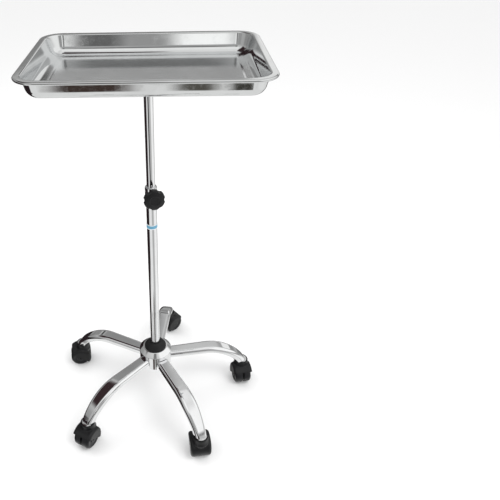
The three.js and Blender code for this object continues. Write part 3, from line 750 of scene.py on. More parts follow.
def tray_shell():
    sizes = bpy.context.scene.stand_tray
    low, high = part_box("tray")
    half = (high - low) / 2
    edge_z = high.z - sizes.roll
    steps = sizes.corner_steps
    shell = rounded_plate("tray_shell", half.x, half.y, sizes.corner, edge_z, steps)
    profile = tray_profile()
    with editing(shell):
        bpy.ops.mesh.select_all(action="SELECT")
        inset_along(profile)
        bpy.ops.mesh.delete(type="ONLY_FACE")
    under = rounded_plate("tray_edge", half.x, half.y, sizes.corner, edge_z, steps)
    with editing(under):
        bpy.ops.mesh.select_all(action="SELECT")
        inset_along(rolled_edge())
        bpy.ops.mesh.delete(type="ONLY_FACE")

    floor = high.z + profile[-1][1]
    inset = sizes.panel_inset
    panel = rounded_plate(
        "tray_panel", half.x - inset, half.y - inset, sizes.panel_corner, floor, steps
    )
    with editing(panel):
        bpy.ops.mesh.select_all(action="SELECT")
        bpy.ops.mesh.inset(thickness=2.2 * MM, depth=0)
    return shell, under, panel


class STAND_OT_tray(bpy.types.Operator):
    """Presses the tray: rolled rim, flange, drafted walls and a floor with a raised panel"""

    bl_idname = "stand.tray"
    bl_label = "Tray"

    def execute(self, context):
        sizes = context.scene.stand_tray
        shell, under, panel = tray_shell()
        floor = panel.data.vertices[0].co.z
        pick(under, panel, shell)
        bpy.ops.object.join()
        tray = bpy.context.object
        tray.name = "tray_pressed"
        with editing(tray, "VERT"):
            bpy.ops.mesh.select_all(action="SELECT")
            bpy.ops.mesh.remove_doubles(threshold=0.00001)
        with editing(tray, "EDGE"):
            choose(
                tray,
                "edges",
                lambda e: e.is_boundary and all(abs(v.co.z - floor) < 1e-5 for v in e.verts),
            )
            bpy.ops.mesh.bridge_edge_loops()
            choose(
                tray,
                "verts",
                lambda v: abs(v.co.z - floor) < 1e-5 and self.on_outline(v, sizes),
            )
            bpy.ops.transform.translate(value=(0, 0, -sizes.panel_step))
        with editing(tray, "FACE"):
            bpy.ops.mesh.select_all(action="SELECT")
            bpy.ops.mesh.normals_make_consistent(inside=False)
        self.face_up(tray)
        modify(tray, "SOLIDIFY", thickness=sizes.sheet, offset=-1, use_even_offset=True)
        settle(tray, post_axis())
        smooth(tray, math.radians(40))
        finish_piece(tray, material("tray_steel"), "tray", "satin_steel", "tray")
        return {"FINISHED"}

    def on_outline(self, vert, sizes):
        """Whether a floor point lies outside the flat of the panel."""
        low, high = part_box("tray")
        reach = (high - low) / 2
        inset = min(reach.x - abs(vert.co.x), reach.y - abs(vert.co.y))
        return inset < sizes.panel_inset + 0.5 * MM

    def face_up(self, tray):
        """Turns the sheet over if its floor faces down."""
        floor = max(tray.data.polygons, key=lambda face: face.area)
        if floor.normal.z < 0:
            with editing(tray, "FACE"):
                bpy.ops.mesh.select_all(action="SELECT")
                bpy.ops.mesh.flip_normals()


# ---------------------------------------------------------------- post


def tube(name, radius, wall, low, high):
    """A tube with its end edges rounded, on the post's axis."""
    sizes = bpy.context.scene.stand_post
    bore = radius - wall
    profile = [(bore, low), (radius, low), (radius, high), (bore, high), (bore, low)]
    piece = turned(name, profile, sizes.sides)
    round_edges(piece, min(sizes.edge, wall * 0.4), 3)
    return piece


def on_post(piece, material_name, slot, *nodes):
    """Sets a piece made about the origin on the post, to move as its first node does."""
    settle(piece, post_axis())
    smooth(piece)
    body = frame["nodes"][nodes[0]]["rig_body"]
    return finish_piece(piece, material(material_name), body, slot, *nodes)


class STAND_OT_post(bpy.types.Operator):
    """Draws the two tubes of the post and wraps the printed band round the lower one"""

    bl_idname = "stand.post"
    bl_label = "Post"

    def execute(self, context):
        sizes = context.scene.stand_post
        for name, wall in (("outer_tube", sizes.outer_wall), ("inner_tube", sizes.inner_wall)):
            low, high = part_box(name)
            piece = tube(f"{name}_drawn", (high.x - low.x) / 2, wall, low.z, high.z)
            on_post(piece, "tube_chrome", "chrome", name)
        low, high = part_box("label_band")
        radius = (high.x - low.x) / 2
        band = tube("band_film", radius, 0.25 * MM, low.z, high.z)
        settle(band, post_axis())
        smooth(band)
        finish_piece(band, material("band_film"), "base", "band_blue", "label_band")
        return {"FINISHED"}


# ---------------------------------------------------------------- clamp


def clamp_turn():
    """Direction of the knob from the post, in radians round Z."""
    reach = middle("lock_knob") - post_axis()
    return math.atan2(reach.y, reach.x)


def collar_piece():
    sizes = bpy.context.scene.stand_post
    low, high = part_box("clamp_collar")
    tube_r = (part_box("outer_tube")[1].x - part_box("outer_tube")[0].x) / 2 + 0.1 * MM
    inner_r = (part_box("inner_tube")[1].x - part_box("inner_tube")[0].x) / 2 + 0.3 * MM
    radius = tube_r + 1.7 * MM
    groove = high.z - 9 * MM
    profile = [
        (tube_r, low.z), (radius - 1 * MM, low.z), (radius, low.z + 1 * MM),
        (radius, groove - 1.2 * MM), (radius - 0.8 * MM, groove - 0.6 * MM),
        (radius - 0.8 * MM, groove + 0.6 * MM), (radius, groove + 1.2 * MM),
        (radius, high.z - 1.8 * MM), (radius - 0.5 * MM, high.z - 0.6 * MM),
        (radius - 1.8 * MM, high.z), (inner_r, high.z),
        (inner_r, high.z - sizes.collar_lip), (tube_r, high.z - sizes.collar_lip),
        (tube_r, low.z),
    ]
    collar = turned("collar", profile)
    axis_z = high.z - sizes.screw_drop
    boss = lay_along_x(rod("boss", sizes.boss, tube_r + 0.4 * MM, sizes.boss_reach))
    settle(boss, (0, 0, axis_z))
    combine(collar, boss, "UNION")
    hole = lay_along_x(rod("hole", 4.3 * MM, 0, 2 * sizes.boss_reach))
    settle(hole, (0, 0, axis_z))
    cut(collar, hole)
    round_edges(collar, 0.5 * MM, 2)
    settle(collar, (0, 0, 0), clamp_turn())
    return collar


def screw_piece(reach):
    """Threaded shank with its chromed skirt behind the knob, along +X from the post's axis."""
    sizes = bpy.context.scene.stand_post
    pitch = 1.5 * MM
    start = 12.3 * MM
    face = sizes.boss_reach + 0.3 * MM
    profile = [(2.6 * MM, start)]
    turns = int((face - start - 1 * MM) / pitch)
    for i in range(turns):
        z = start + 0.4 * MM + i * pitch
        profile += [(3.3 * MM, z), (3.95 * MM, z + pitch * 0.45), (3.3 * MM, z + pitch * 0.9)]
    profile += [
        (3.3 * MM, face), (16.8 * MM, face), (18 * MM, face + 0.8 * MM),
        (18 * MM, reach - 0.9 * MM), (17 * MM, reach), (6 * MM, reach),
    ]
    return turned("clamp_screw", profile, 48)


def knob_piece(low, high):
    """Lobed hand wheel from back to face along Z, scalloped between its lobes."""
    sizes = bpy.context.scene.stand_post
    radius = sizes.knob
    thick = high - low
    profile = [
        (radius * 0.86, low), (radius, low + 2.2 * MM), (radius, high - 5 * MM),
        (radius * 0.955, high - 2.6 * MM), (radius * 0.84, high - 1.1 * MM),
        (radius * 0.62, high - 0.2 * MM), (sizes.knob_face, high),
        (sizes.knob_face - 1.2 * MM, high - 0.9 * MM), (1 * MM, high - 1.1 * MM),
    ]
    knob = turned("knob", profile, 96)
    scallop = 8.5 * MM
    bite = 3.4 * MM
    reach = radius + scallop - bite
    for i in range(sizes.knob_lobes):
        a = (i + 0.5) * 2 * math.pi / sizes.knob_lobes
        tool = rod("scallop", scallop, low - thick, high + thick, 40)
        settle(tool, (reach * math.cos(a), reach * math.sin(a), 0))
        cut(knob, tool)
    round_edges(knob, 1.6 * MM, 4, math.radians(28))
    return knob


class STAND_OT_clamp(bpy.types.Operator):
    """Makes the clamp collar, its screw and the lobed knob"""

    bl_idname = "stand.clamp"
    bl_label = "Clamp"

    def execute(self, context):
        axis = post_axis()
        on_post(collar_piece(), "tube_chrome", "chrome", "clamp_collar")
        height = middle("lock_knob").z
        along = (middle("lock_knob") - axis).to_2d().length
        half = context.scene.stand_post.knob_half
        screw = lay_along_x(screw_piece(along - half - 0.3 * MM))
        settle(screw, (0, 0, height), 0)
        settle(screw, (0, 0, 0), clamp_turn())
        on_post(screw, "tube_chrome", "chrome", "knob_screw")
        knob = lay_along_x(knob_piece(along - half, along + half))
        settle(knob, (0, 0, height))
        settle(knob, (0, 0, 0), clamp_turn())
        on_post(knob, "hood_plastic", "black_plastic", "lock_knob")
        return {"FINISHED"}


# ---------------------------------------------------------------- hub


def window_tool(width, low, top):
    """An arched cutter that points along +X from the axis."""
    tool = box_between("window", (10 * MM, -width / 2, low - 5 * MM), (60 * MM, width / 2, top))
    with editing(tool, "EDGE"):
        choose(
            tool,
            "edges",
            lambda e: all(v.co.z > top - 1e-5 for v in e.verts)
            and abs(e.verts[0].co.y - e.verts[1].co.y) < 1e-6,
        )
        bpy.ops.mesh.bevel(offset=width * 0.34, segments=10, affect="EDGES")
    return tool


def cover_piece():
    """Thin moulded crown: top ring, cone and skirt, with an arched window round each leg."""
    sizes = bpy.context.scene.stand_base
    low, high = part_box("hub_cover")
    radius = (high.x - low.x) / 2
    wall = sizes.cover_wall
    knee = high.z - sizes.cover_cone
    profile = [
        (radius - wall, low.z), (radius, low.z), (radius, knee - 1 * MM),
        (radius - 0.5 * MM, knee + 0.4 * MM), (sizes.cover_top + 1 * MM, high.z - 0.7 * MM),
        (sizes.cover_top, high.z - 0.15 * MM), (sizes.cover_top - 0.9 * MM, high.z),
        (sizes.cover_hole, high.z), (sizes.cover_hole, high.z - wall),
        (sizes.cover_top - 1.2 * MM, high.z - wall), (radius - wall, knee - wall * 0.6),
        (radius - wall, low.z),
    ]
    cover = turned("cover", profile, 120)
    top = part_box("leg_1")[1].z + 1.5 * MM
    for number in range(1, LEGS + 1):
        tool = window_tool(sizes.window, low.z, top)
        settle(tool, (0, 0, 0), leg_turn(number))
        cut(cover, tool)
    round_edges(cover, 0.35 * MM, 2)
    return cover


def cap_piece():
    """Domed cap that closes the cover round the post."""
    low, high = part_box("hub_cap")
    radius = (high.x - low.x) / 2
    bore = (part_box("outer_tube")[1].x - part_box("outer_tube")[0].x) / 2 + 0.2 * MM
    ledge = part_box("hub_cover")[1].z + 0.3 * MM
    inside = bpy.context.scene.stand_base.cover_hole - 1 * MM
    profile = [
        (bore, low.z), (inside, low.z), (inside, ledge),
        (radius - 0.8 * MM, ledge), (radius, ledge + 0.8 * MM), (radius, ledge + 2.4 * MM),
    ]
    rise = high.z - ledge - 3.4 * MM
    steps = 10
    for i in range(steps + 1):
        t = i / steps
        r = radius - 0.8 * MM - (radius - bore - 3 * MM) * t
        profile.append((r, ledge + 3.4 * MM + rise * math.sin(t * math.pi / 2.2)))
    profile += [(bore + 1 * MM, high.z), (bore, high.z - 1.2 * MM), (bore, low.z)]
    return turned("cap", profile, 96)


class STAND_OT_hub(bpy.types.Operator):
    """Makes the chromed plastic cover, the black cap, the hub core and the plate under the legs"""

    bl_idname = "stand.hub"
    bl_label = "Hub"

    def execute(self, context):
        on_post(cover_piece(), "cover_chrome", "chromed_plastic", "hub_cover")
        on_post(cap_piece(), "cap_plastic", "black_plastic", "hub_cap")
        zinc = material("zinc_plate")
        for node in ("hub_core", "base_plate", "post_bolt"):
            refined(node, zinc, "zinc_steel", 0.6 * MM)
        for number in range(1, LEGS + 1):
            refined(f"leg_bolt_{number}", zinc, "zinc_steel", 0.3 * MM)
        return {"FINISHED"}


# ---------------------------------------------------------------- legs


def leg_line():
    """Points of a leg's centre line in the XZ plane: root, start of the bend, tip, and the
    two handles of the bend."""
    sizes = bpy.context.scene.stand_base
    low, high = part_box("leg_1")
    reach = (middle("caster_stem_1") - post_axis()).to_2d().length
    level = high.z - sizes.leg_depth / 2
    bend = sizes.leg_start + sizes.leg_level
    run = reach - bend
    tip_z = low.z
    first = Vector((bend + run * 0.46, 0, level))
    second = Vector((reach - run * 0.065, 0, tip_z + (level - tip_z) * 0.42))
    root = Vector((sizes.leg_start, 0, level))
    return root, Vector((bend, 0, level)), first, second, Vector((reach, 0, tip_z))


def bezier_length(a, b, c, d, steps=64):
    total = 0.0
    last = a
    for i in range(1, steps + 1):
        t = i / steps
        u = 1 - t
        point = a * u**3 + b * 3 * u * u * t + c * 3 * u * t * t + d * t**3
        total += (point - last).length
        last = point
    return total


def smoothstep(low, high, value):
    t = min(max((value - low) / (high - low), 0), 1)
    return t * t * (3 - 2 * t)


def leg_section(along, level, total):
    """Width and depth of a leg at a distance from its root."""
    sizes = bpy.context.scene.stand_base
    start = sizes.leg_root + (sizes.leg_belly - sizes.leg_root) * 0.7
    if along <= level:
        return sizes.leg_root + (start - sizes.leg_root) * along / level, sizes.leg_depth
    t = (along - level) / (total - level)
    belly = math.sin(math.pi * min(t / 0.8, 1))
    taper = smoothstep(0.35, 1, t)
    width = start + (sizes.leg_tip - start) * taper + (sizes.leg_belly - start) * belly
    return width, sizes.leg_depth + (sizes.tip_depth - sizes.leg_depth) * taper


def leg_bar(name, inset, drop, start, end, steps, bend_from, total):
    """A straight rounded bar along X, its section following the leg's. An inset shrinks it
    and a drop deepens it downwards."""
    sizes = bpy.context.scene.stand_base

    def section(along):
        width, depth = leg_section(along, bend_from, total)
        return width - 2 * inset, depth - inset + drop

    width, depth = section(start)
    corner = sizes.leg_corner - inset
    bar = rounded_plate(name, depth / 2, width / 2, corner, 0, 4, lambda v: v.co.x > 0)
    with editing(bar, "VERT"):
        choose(bar, "verts", lambda v: v.co.x < -depth / 2 + 1e-6)
        bpy.ops.mesh.bevel(
            offset=sizes.leg_shoulder - inset, segments=8, affect="VERTICES", clamp_overlap=False
        )
    bar.rotation_euler.y = math.pi / 2
    settle(bar, (start, 0, -(inset + drop) / 2))
    with editing(bar):
        bpy.ops.mesh.select_all(action="SELECT")
        for i in range(steps):
            there = start + (end - start) * (i + 1) / steps
            wide, deep = section(there)
            step = (end - start) / steps
            bpy.ops.mesh.extrude_region_move(TRANSFORM_OT_translate={"value": (step, 0, 0)})
            bpy.ops.transform.resize(
                value=(1, wide / width, deep / depth),
                center_override=(there, 0, -(inset + drop) / 2),
            )
            width, depth = wide, deep
    return outward(bar)


def bend_along(piece, root, bend, first, second, tip):
    """Bends a straight piece along a leg's centre line."""
    bpy.ops.curve.primitive_bezier_curve_add()
    line = bpy.context.object
    spline = line.data.splines[0]
    spline.bezier_points.add(1)
    third = (bend - root) / 3
    handles = [
        (root, root - third, root + third), (bend, bend - third, first),
        (tip, second, tip + (tip - second)),
    ]
    for point, (co, left, right) in zip(spline.bezier_points, handles):
        point.handle_left_type = point.handle_right_type = "FREE"
        point.co, point.handle_left, point.handle_right = co, left, right
    line.data.dimensions = "3D"
    line.data.twist_mode = "Z_UP"
    line.data.resolution_u = 48
    modify(piece, "CURVE", object=line, deform_axis="POS_X")
    bpy.data.objects.remove(line)
    return piece


def leg_piece():
    sizes = bpy.context.scene.stand_base
    root, bend, first, second, tip = leg_line()
    level = sizes.leg_level
    total = level + bezier_length(bend, first, second, tip)
    leg = leg_bar("leg", 0, 0, 0, total, 44, level, total)
    bend_along(leg, root, bend, first, second, tip)
    hollow_from = 24 * MM
    hollow_to = level + (total - level) * 0.55
    hollow = leg_bar(
        "hollow", sizes.leg_wall, sizes.leg_depth / 2, hollow_from, hollow_to, 24, level, total
    )
    bend_along(hollow, root, bend, first, second, tip)
    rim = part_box("caster_hood_1")[1].z + 1 * MM
    reach = tip.x
    around = [
        (sizes.socket, 0), (70 * MM, 0), (70 * MM, rim), (sizes.socket, rim), (sizes.socket, 0)
    ]
    collar = settle(turned("around", around, 64), (reach, 0, 0))
    below = settle(rod("below", 70 * MM, -50 * MM, tip.z), (reach, 0, 0))
    socket = turned(
        "socket",
        [
            (sizes.socket - 1.5 * MM, tip.z), (sizes.socket, tip.z + 1.5 * MM),
            (sizes.socket, rim - 2 * MM),
            (sizes.socket - 0.6 * MM, rim - 0.6 * MM), (sizes.socket - 2 * MM, rim), (3 * MM, rim),
        ],
        64,
    )
    settle(socket, (reach, 0, 0))
    hole = settle(rod("hole", 5.8 * MM, tip.z - 5 * MM, tip.z + 20 * MM), (reach, 0, 0))
    cut(leg, collar)
    cut(leg, below)
    combine(leg, socket, "UNION")
    cut(leg, hollow)
    cut(leg, hole)
    return leg


class STAND_OT_legs(bpy.types.Operator):
    """Presses one bent leg and sets five copies round the hub"""

    bl_idname = "stand.legs"
    bl_label = "Legs"

    def execute(self, context):
        first = leg_piece()
        for number in range(1, LEGS + 1):
            leg = copied(first, f"leg_bent_{number}")
            settle(leg, post_axis(), leg_turn(number))
            smooth(leg, math.radians(35))
            finish_piece(leg, material("leg_chrome"), "base", "chrome", f"leg_{number}")
        bpy.data.objects.remove(first)
        return {"FINISHED"}


# ---------------------------------------------------------------- casters
# Each is made with its stem on the Z axis and its wheels trailing towards +X.


def caster_places():
    """Distance from stem to axle, the axle's height, and the hood's box."""
    trail = (middle("caster_axle_1") - middle("caster_stem_1")).to_2d().length
    height = middle("caster_axle_1").z
    low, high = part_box("caster_hood_1")
    return trail, height, low, high


def caster_widths():
    """Inner and outer face of a wheel from the caster's middle plane."""
    turn = caster_turn(1)
    across = Vector((-math.sin(turn), math.cos(turn), 0))
    centre = middle("caster_stem_1")
    mesh = frame["nodes"]["wheel_left_1"].data
    reach = [abs((v.co - centre).dot(across)) for v in mesh.vertices]
    return min(reach), max(reach)


def hood_piece():
    sizes = bpy.context.scene.stand_caster
    trail, axle, low, high = caster_places()
    near, far = caster_widths()
    outer = sizes.wheel + sizes.air + sizes.wall
    half = far + sizes.air + sizes.wall
    centre = (trail, axle)
    body = cross_rod("hood", outer, -half, half, centre, 96)
    round_edges(body, sizes.edge, 8)
    rim = high.z
    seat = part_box("leg_1")[0].z - 0.3 * MM
    cup = turned(
        "cup",
        [
            (6 * MM, axle), (14 * MM, axle + 6 * MM), (sizes.cup + 3 * MM, seat - 11 * MM),
            (sizes.cup + 0.8 * MM, seat - 3 * MM), (sizes.cup, rim), (3 * MM, rim),
        ],
        64,
    )
    combine(body, cup, "UNION")
    modify(body, "REMESH", mode="VOXEL", voxel_size=sizes.voxel)
    modify(body, "SMOOTH", factor=0.5, iterations=sizes.blend)

    keep = box_between("keep", (-90 * MM, -90 * MM, -20 * MM), (90 * MM, 90 * MM, rim - 0.2 * MM))
    combine(body, keep, "INTERSECT")
    for side in (-1, 1):
        cut(body, well_tool(sizes, side, far + sizes.air, centre))
    cut(body, skirt_tool(outer, trail, half))
    boss = cross_rod("boss", sizes.boss, -sizes.boss_half, sizes.boss_half, centre, 64)
    combine(body, boss, "UNION")
    recess = rod("recess", sizes.cup - sizes.cup_wall, seat, rim + 20 * MM, 64)
    cut(body, recess)
    cut(body, rod("stem_hole", sizes.stem, seat - 5 * MM, rim + 20 * MM))
    cut(body, cross_rod("axle_hole", sizes.pin, -half, half, centre, 40))
    return body


def well_tool(sizes, side, deep, centre):
    """The room a wheel turns in, rounded like the hood on its outer side."""
    radius = sizes.wheel + sizes.air
    curve = sizes.edge - sizes.wall
    profile = [(1 * MM, sizes.web), (radius, sizes.web)]
    profile += arc((radius - curve, deep - curve), curve, 0, 90, 8)
    profile += [(1 * MM, deep)]
    well = turned("well", profile, 96)
    well.rotation_euler.x = -side * math.pi / 2
    well.location = (centre[0], 0, centre[1])
    return settle(well)


def skirt_tool(outer, trail, half):
    """Cutter below the hood's skirt: level at the closed side, rising to the open side."""
    sizes = bpy.context.scene.stand_caster
    far_left, far_right, deep = trail - 3 * outer, trail + 3 * outer, -60 * MM
    outline = [
        (far_left, deep), (far_left, sizes.skirt_front), (trail - outer * 0.9, sizes.skirt_front),
        (trail + sizes.overhang, sizes.skirt_back), (far_right, sizes.skirt_back),
        (far_right, deep),
    ]
    return upright_slab("skirt", outline, -2 * half, 2 * half)


def wheel_piece():
    """A wheel on the +Y side: rounded tread, dished outer face with a hub, hollow inside."""
    sizes = bpy.context.scene.stand_caster
    near, far = caster_widths()
    radius = sizes.wheel
    hollow = 21.8 * MM
    recess = near + 2.9 * MM
    profile = [(sizes.pin, recess), (hollow, recess), (hollow, near)]
    profile += [(radius - 2.2 * MM, near), (radius - 0.8 * MM, near + 0.4 * MM)]
    profile += [(radius, near + 2.2 * MM), (radius, far - 9 * MM)]
    steps = 7
    for i in range(1, steps + 1):
        a = math.pi / 2 * i / steps
        profile.append((radius - 6 * MM * (1 - math.cos(a)), far - 9 * MM + 8.4 * MM * math.sin(a)))
    profile += [
        (radius - 7.5 * MM, far - 0.4 * MM), (radius - 9.5 * MM, far - 1.6 * MM),
        (12 * MM, far - 2.4 * MM), (11 * MM, far - 0.8 * MM), (9.5 * MM, far - 0.2 * MM),
        (5 * MM, far - 0.2 * MM), (sizes.pin, far - 0.9 * MM), (sizes.pin, recess),
    ]
    wheel = turned("wheel", profile, 96)
    wheel.rotation_euler.x = -math.pi / 2
    return settle(wheel)


class STAND_OT_casters(bpy.types.Operator):
    """Moulds one hood and one wheel and sets the copies at each leg's end"""

    bl_idname = "stand.casters"
    bl_label = "Casters"

    def execute(self, context):
        trail, axle, low, high = caster_places()
        hood = hood_piece()
        wheel = wheel_piece()
        zinc = material("zinc_plate")
        for number in range(1, LEGS + 1):
            stem = middle(f"caster_stem_{number}")
            place = (stem.x, stem.y, 0)
            turn = caster_turn(number)
            one = copied(hood, f"hood_moulded_{number}")
            settle(one, place, turn)
            smooth(one, math.radians(40))
            finish_piece(
                one, material("hood_plastic"), f"caster_{number}", "black_plastic",
                f"caster_hood_{number}",
            )
            for side, flip in (("left", 0.0), ("right", math.pi)):
                roller = copied(wheel, f"wheel_moulded_{side}_{number}")
                settle(roller, (0, 0, 0), flip)
                settle(roller, (trail, 0, axle))
                settle_about(roller, turn, place)
                smooth(roller)
                finish_piece(
                    roller, material("wheel_nylon"), f"{side}_{number}", "wheel_plastic",
                    f"wheel_{side}_{number}",
                )
            refined(f"caster_stem_{number}", zinc, "zinc_steel", 0.4 * MM)
            refined(f"caster_axle_{number}", zinc, "zinc_steel", 0.4 * MM)
        for spare in (hood, wheel):
            bpy.data.objects.remove(spare)
        return {"FINISHED"}


def settle_about(piece, turn, place):
    """Turns a piece about the Z axis, then moves it to its place."""
    return settle(settle(piece, (0, 0, 0), turn), place)


# ---------------------------------------------------------------- carrier and inner pieces


class STAND_OT_carrier(bpy.types.Operator):
    """Finishes the carrier under the tray and the plain pieces inside the post"""

    bl_idname = "stand.carrier"
    bl_label = "Carrier"

    def execute(self, context):
        zinc = material("zinc_plate")
        rubber = material("foot_rubber")
        nylon = material("natural_nylon")
        for node in ("carrier_plate", "carrier_bar_front", "carrier_bar_back"):
            refined(node, zinc, "zinc_steel", 0.8 * MM)
        for side in ("left", "right"):
            refined(f"carrier_end_{side}", zinc, "zinc_steel", 0.8 * MM)
            for end in ("front", "back"):
                refined(f"pad_{end}_{side}", rubber, "pad_rubber", 0.7 * MM)
        for node in ("guide_bush", "post_glide", "clamp_shoe"):
            refined(node, nylon, "white_nylon", 0.3 * MM)
        return {"FINISHED"}


# ---------------------------------------------------------------- stage


def floor_material():
    """Plain pale paper."""
    floor = bpy.data.materials.new("studio_floor")
    floor.use_nodes = True
    tree = floor.node_tree
    shader = tree.nodes["Principled BSDF"]
    shader.inputs["Specular IOR Level"].default_value = 0.1
    place = tree.nodes.new("ShaderNodeTexCoord").outputs["Object"]
    fibres = noise(tree, place, 40, detail=4)
    tree.links.new(spread(tree, fibres, 0.3, 0.7, 0.75, 0.8), shader.inputs["Roughness"])
    shader.inputs["Base Color"].default_value = (*bpy.context.scene.stand_finishes.floor, 1)
    return floor


def bearing(tree, sideways, ahead):
    """Degrees to the right of straight ahead."""
    turn = add_node(tree, "ShaderNodeMath", operation="ARCTAN2")
    tree.links.new(sideways, turn.inputs[0])
    tree.links.new(ahead, turn.inputs[1])
    return in_degrees(tree, turn.outputs["Value"])


def in_degrees(tree, value):
    node = add_node(tree, "ShaderNodeMath", operation="DEGREES")
    tree.links.new(value, node.inputs[0])
    return node.outputs["Value"]


def between(tree, value, low, high, soft):
    """1 between two values, fading to 0 over a margin outside them."""
    rise = spread(tree, value, low - soft, low + soft, 0.0, 1.0)
    fall = spread(tree, value, high - soft, high + soft, 1.0, 0.0)
    both = add_node(tree, "ShaderNodeMath", operation="MULTIPLY")
    tree.links.new(rise, both.inputs[0])
    tree.links.new(fall, both.inputs[1])
    return both.outputs["Value"]


class Room:
    """What polished metal sees around it: a tone by height, then panels laid over it."""

    def __init__(self, tree):
        self.tree = tree
        split = add_node(tree, "ShaderNodeSeparateXYZ")
        way = tree.nodes.new("ShaderNodeTexCoord").outputs["Generated"]
        tree.links.new(way, split.inputs["Vector"])
        x, y, z = (split.outputs[axis] for axis in "XYZ")
        away = add_node(tree, "ShaderNodeMath", operation="MULTIPLY")
        tree.links.new(y, away.inputs[0])
        away.inputs[1].default_value = -1
        self.front = bearing(tree, x, away.outputs["Value"])
        self.back = bearing(tree, x, y)
        rise = add_node(tree, "ShaderNodeMath", operation="ARCSINE")
        tree.links.new(z, rise.inputs[0])
        self.height = in_degrees(tree, rise.outputs["Value"])
        low = [(-90, 0.92), (-45, 0.9), (-30, 0.8)]
        high = [(0, 0.3), (28, 0.36), (50, 0.6), (90, 0.95)]
        self.colour = self.ramp(low + high)

    def ramp(self, stops):
        node = add_node(self.tree, "ShaderNodeValToRGB")
        elements = node.color_ramp.elements
        while len(elements) < len(stops):
            elements.new(0.5)
        for element, (degrees, tone) in zip(elements, stops):
            element.position = (degrees + 90) / 180
            element.color = (*grey(tone), 1)
        share_up = spread(self.tree, self.height, -90, 90, 0.0, 1.0)
        self.tree.links.new(share_up, node.inputs["Fac"])
        return node.outputs["Color"]

    def panel(self, bearing_from, sides, heights, tint, soft=3.0):
        """Lays a soft-edged panel between two bearings and two heights, in degrees."""
        tree = self.tree
        wide = between(tree, bearing_from, *sides, soft)
        high = between(tree, self.height, *heights, soft * 0.6)
        mask = add_node(tree, "ShaderNodeMath", operation="MULTIPLY")
        tree.links.new(wide, mask.inputs[0])
        tree.links.new(high, mask.inputs[1])
        mix = add_node(tree, "ShaderNodeMix", data_type="RGBA")
        slots = [s for s in mix.inputs if s.type == "RGBA"]
        tree.links.new(mask.outputs["Value"], mix.inputs["Factor"])
        tree.links.new(self.colour, slots[0])
        slots[1].default_value = (*tint, 1)
        self.colour = next(s for s in mix.outputs if s.type == "RGBA")


def grey(value):
    return (value, value, value * 0.99)


def dress_room(room):
    """Pale to the right, dim to the left, dark past the front edge of the lit paper."""
    front, back = room.front, room.back
    # the left side, from beside the stand round to behind it
    room.panel(front, (-200, -56), (-38, -7), (0.016, 0.012, 0.013), 4)
    room.panel(front, (-150, -75), (-52, 4), (0.024, 0.016, 0.018), 4)
    room.panel(back, (-60, 2), (-34, -9), (0.02, 0.014, 0.016), 4)
    room.panel(front, (-178, -74), (54, 80), (0.05, 0.034, 0.036), 6)
    room.panel(front, (-145, -72), (32, 70), (0.04, 0.024, 0.026), 8)
    room.panel(front, (-70, -30), (6, 30), grey(0.5), 8)
    # the right side
    room.panel(front, (4, 46), (-44, -14), grey(0.5), 8)
    room.panel(front, (50, 104), (-44, -8), grey(1.0), 8)
    room.panel(front, (138, 186), (-40, -10), grey(0.22), 5)
    room.panel(front, (30, 125), (8, 60), grey(1.1), 12)
    # behind
    room.panel(back, (-32, 1), (28, 52), grey(0.28), 5)
    room.panel(back, (1, 32), (28, 62), grey(0.6), 6)
    room.panel(back, (-30, 30), (20, 25), grey(0.07), 1.5)
    room.panel(back, (-30, 30), (6, 16), grey(0.27), 1.5)
    room.panel(back, (-30, 30), (16.5, 19.5), grey(0.55), 1)
    room.panel(back, (4.5, 40), (6, 19), grey(0.42), 1.5)
    room.panel(back, (8.5, 40), (6, 19), grey(0.95), 1)
    # in front, high up
    room.panel(front, (-40, 30), (52, 80), grey(1.05), 6)
    room.panel(front, (-14, 9), (38, 52), grey(0.24), 3)
    room.panel(front, (-14, 9), (23, 37), grey(0.46), 2)
    # in front, at eye level: bright windows between dim walls
    room.panel(front, (-40, 30), (-2, 22), grey(0.4), 3)
    room.panel(front, (-12, -9.6), (6, 22), grey(0.95), 1)
    room.panel(front, (-9.2, -5), (6, 22), grey(0.16), 1.2)
    room.panel(front, (0.5, 6.8), (8, 22), grey(1.25), 1.5)
    # in front, low down
    room.panel(front, (-48, 28), (-13, -2), (0.03, 0.026, 0.026), 3)
    room.panel(front, (-24, 3), (-29, -13), (0.012, 0.012, 0.012), 2)
    room.panel(front, (-12, 10), (-47, -40), grey(0.45), 2)
    room.panel(front, (-18, -6), (-51, -40), (0.06, 0.042, 0.036), 2.5)
    room.panel(front, (1, 7.5), (-51, -40), (0.1, 0.094, 0.08), 2)
    room.panel(front, (9.5, 13.5), (-51, -40), (0.05, 0.047, 0.04), 1)


def studio_world():
    """An evenly pale surround whose reflections show a room with darker and paler sides."""
    world = bpy.data.worlds.new("studio")
    bpy.context.scene.world = world
    world.use_nodes = True
    tree = world.node_tree
    tree.nodes.clear()
    output = tree.nodes.new("ShaderNodeOutputWorld")
    room = Room(tree)
    dress_room(room)
    seen = tree.nodes.new("ShaderNodeBackground")
    tree.links.new(room.colour, seen.inputs["Color"])
    plain = tree.nodes.new("ShaderNodeBackground")
    plain.inputs["Color"].default_value = (1.02, 1.02, 1.02, 1)
    ray = tree.nodes.new("ShaderNodeLightPath")
    choice = tree.nodes.new("ShaderNodeMixShader")
    tree.links.new(ray.outputs["Is Glossy Ray"], choice.inputs["Fac"])
    tree.links.new(plain.outputs["Background"], choice.inputs[1])
    tree.links.new(seen.outputs["Background"], choice.inputs[2])
    tree.links.new(choice.outputs["Shader"], output.inputs["Surface"])


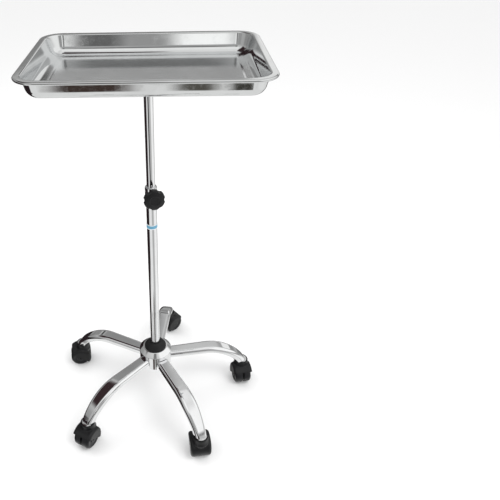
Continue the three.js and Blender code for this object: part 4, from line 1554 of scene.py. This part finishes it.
def soft_light(name, place, target, width, power, tint=(1, 1, 1)):
    bpy.ops.object.light_add(type="AREA", location=place)
    light = bpy.context.object
    light.name = name
    light.data.shape = "SQUARE"
    light.data.size = width
    light.data.energy = power
    light.data.color = tint
    aim = Vector(target) - Vector(place)
    light.rotation_euler = aim.to_track_quat("-Z", "Y").to_euler()
    light.visible_glossy = False
    return light


class STAND_OT_stage(bpy.types.Operator):
    """Lays the pale floor and sets the lights, the room and the camera"""

    bl_idname = "stand.stage"
    bl_label = "Stage"

    def execute(self, context):
        stage = context.scene.stand_stage
        axis = post_axis()
        clear_selection()
        bpy.ops.mesh.primitive_plane_add(size=24, location=(0, 0, 0))
        floor = newest("floor")
        floor.data.materials.append(floor_material())
        floor.visible_glossy = False
        studio_world()
        soft_light("key", (1.3, -1.0, 2.6), (0, 0, 0.4), 1.4, 28)
        soft_light("fill", (-1.8, 0.6, 2.2), (0, 0, 0.3), 1.6, 14)

        bpy.ops.object.camera_add(
            location=axis + Vector((stage.side, -stage.back, stage.height)),
            rotation=(stage.tilt, stage.roll, stage.pan),
        )
        camera = context.object
        camera.data.lens = stage.lens
        camera.data.sensor_width = 36
        camera.data.shift_x = stage.shift
        camera.data.clip_start = 0.05
        context.scene.camera = camera
        context.scene.view_settings.view_transform = "Standard"
        return {"FINISHED"}


# ---------------------------------------------------------------- panel and registration


class STAND_PT_panel(bpy.types.Panel):
    """Buttons that build the stand, group by group"""

    bl_idname = "STAND_PT_panel"
    bl_label = "Instrument stand"
    bl_space_type = "VIEW_3D"
    bl_region_type = "UI"
    bl_category = "Stand"

    def draw(self, context):
        for operator in OPERATORS:
            self.layout.operator(operator.bl_idname)
        for group in SIZES:
            box = self.layout.box()
            settings = getattr(context.scene, group)
            for key in settings.bl_rna.properties.keys():
                if key not in {"rna_type", "name"}:
                    box.prop(settings, key)


SIZES = {
    "stand_tray": StandTraySizes,
    "stand_post": StandPostSizes,
    "stand_base": StandBaseSizes,
    "stand_caster": StandCasterSizes,
    "stand_finishes": StandFinishes,
    "stand_stage": StandStageSizes,
}
OPERATORS = (
    STAND_OT_stage,
    STAND_OT_tray,
    STAND_OT_post,
    STAND_OT_clamp,
    STAND_OT_hub,
    STAND_OT_legs,
    STAND_OT_casters,
    STAND_OT_carrier,
)


def register():
    for name, group in SIZES.items():
        bpy.utils.register_class(group)
        setattr(bpy.types.Scene, name, PointerProperty(type=group))
    for operator in OPERATORS:
        bpy.utils.register_class(operator)
    bpy.utils.register_class(STAND_PT_panel)


def unregister():
    bpy.utils.unregister_class(STAND_PT_panel)
    for operator in reversed(OPERATORS):
        bpy.utils.unregister_class(operator)
    for name, group in reversed(SIZES.items()):
        delattr(bpy.types.Scene, name)
        bpy.utils.unregister_class(group)


def main():
    register()
    make_finishes()
    bpy.ops.stand.stage()
    bpy.ops.stand.tray()
    bpy.ops.stand.post()
    bpy.ops.stand.clamp()
    bpy.ops.stand.hub()
    bpy.ops.stand.legs()
    bpy.ops.stand.casters()
    bpy.ops.stand.carrier()
    clear_selection()


if __name__ == "__main__":
    main()
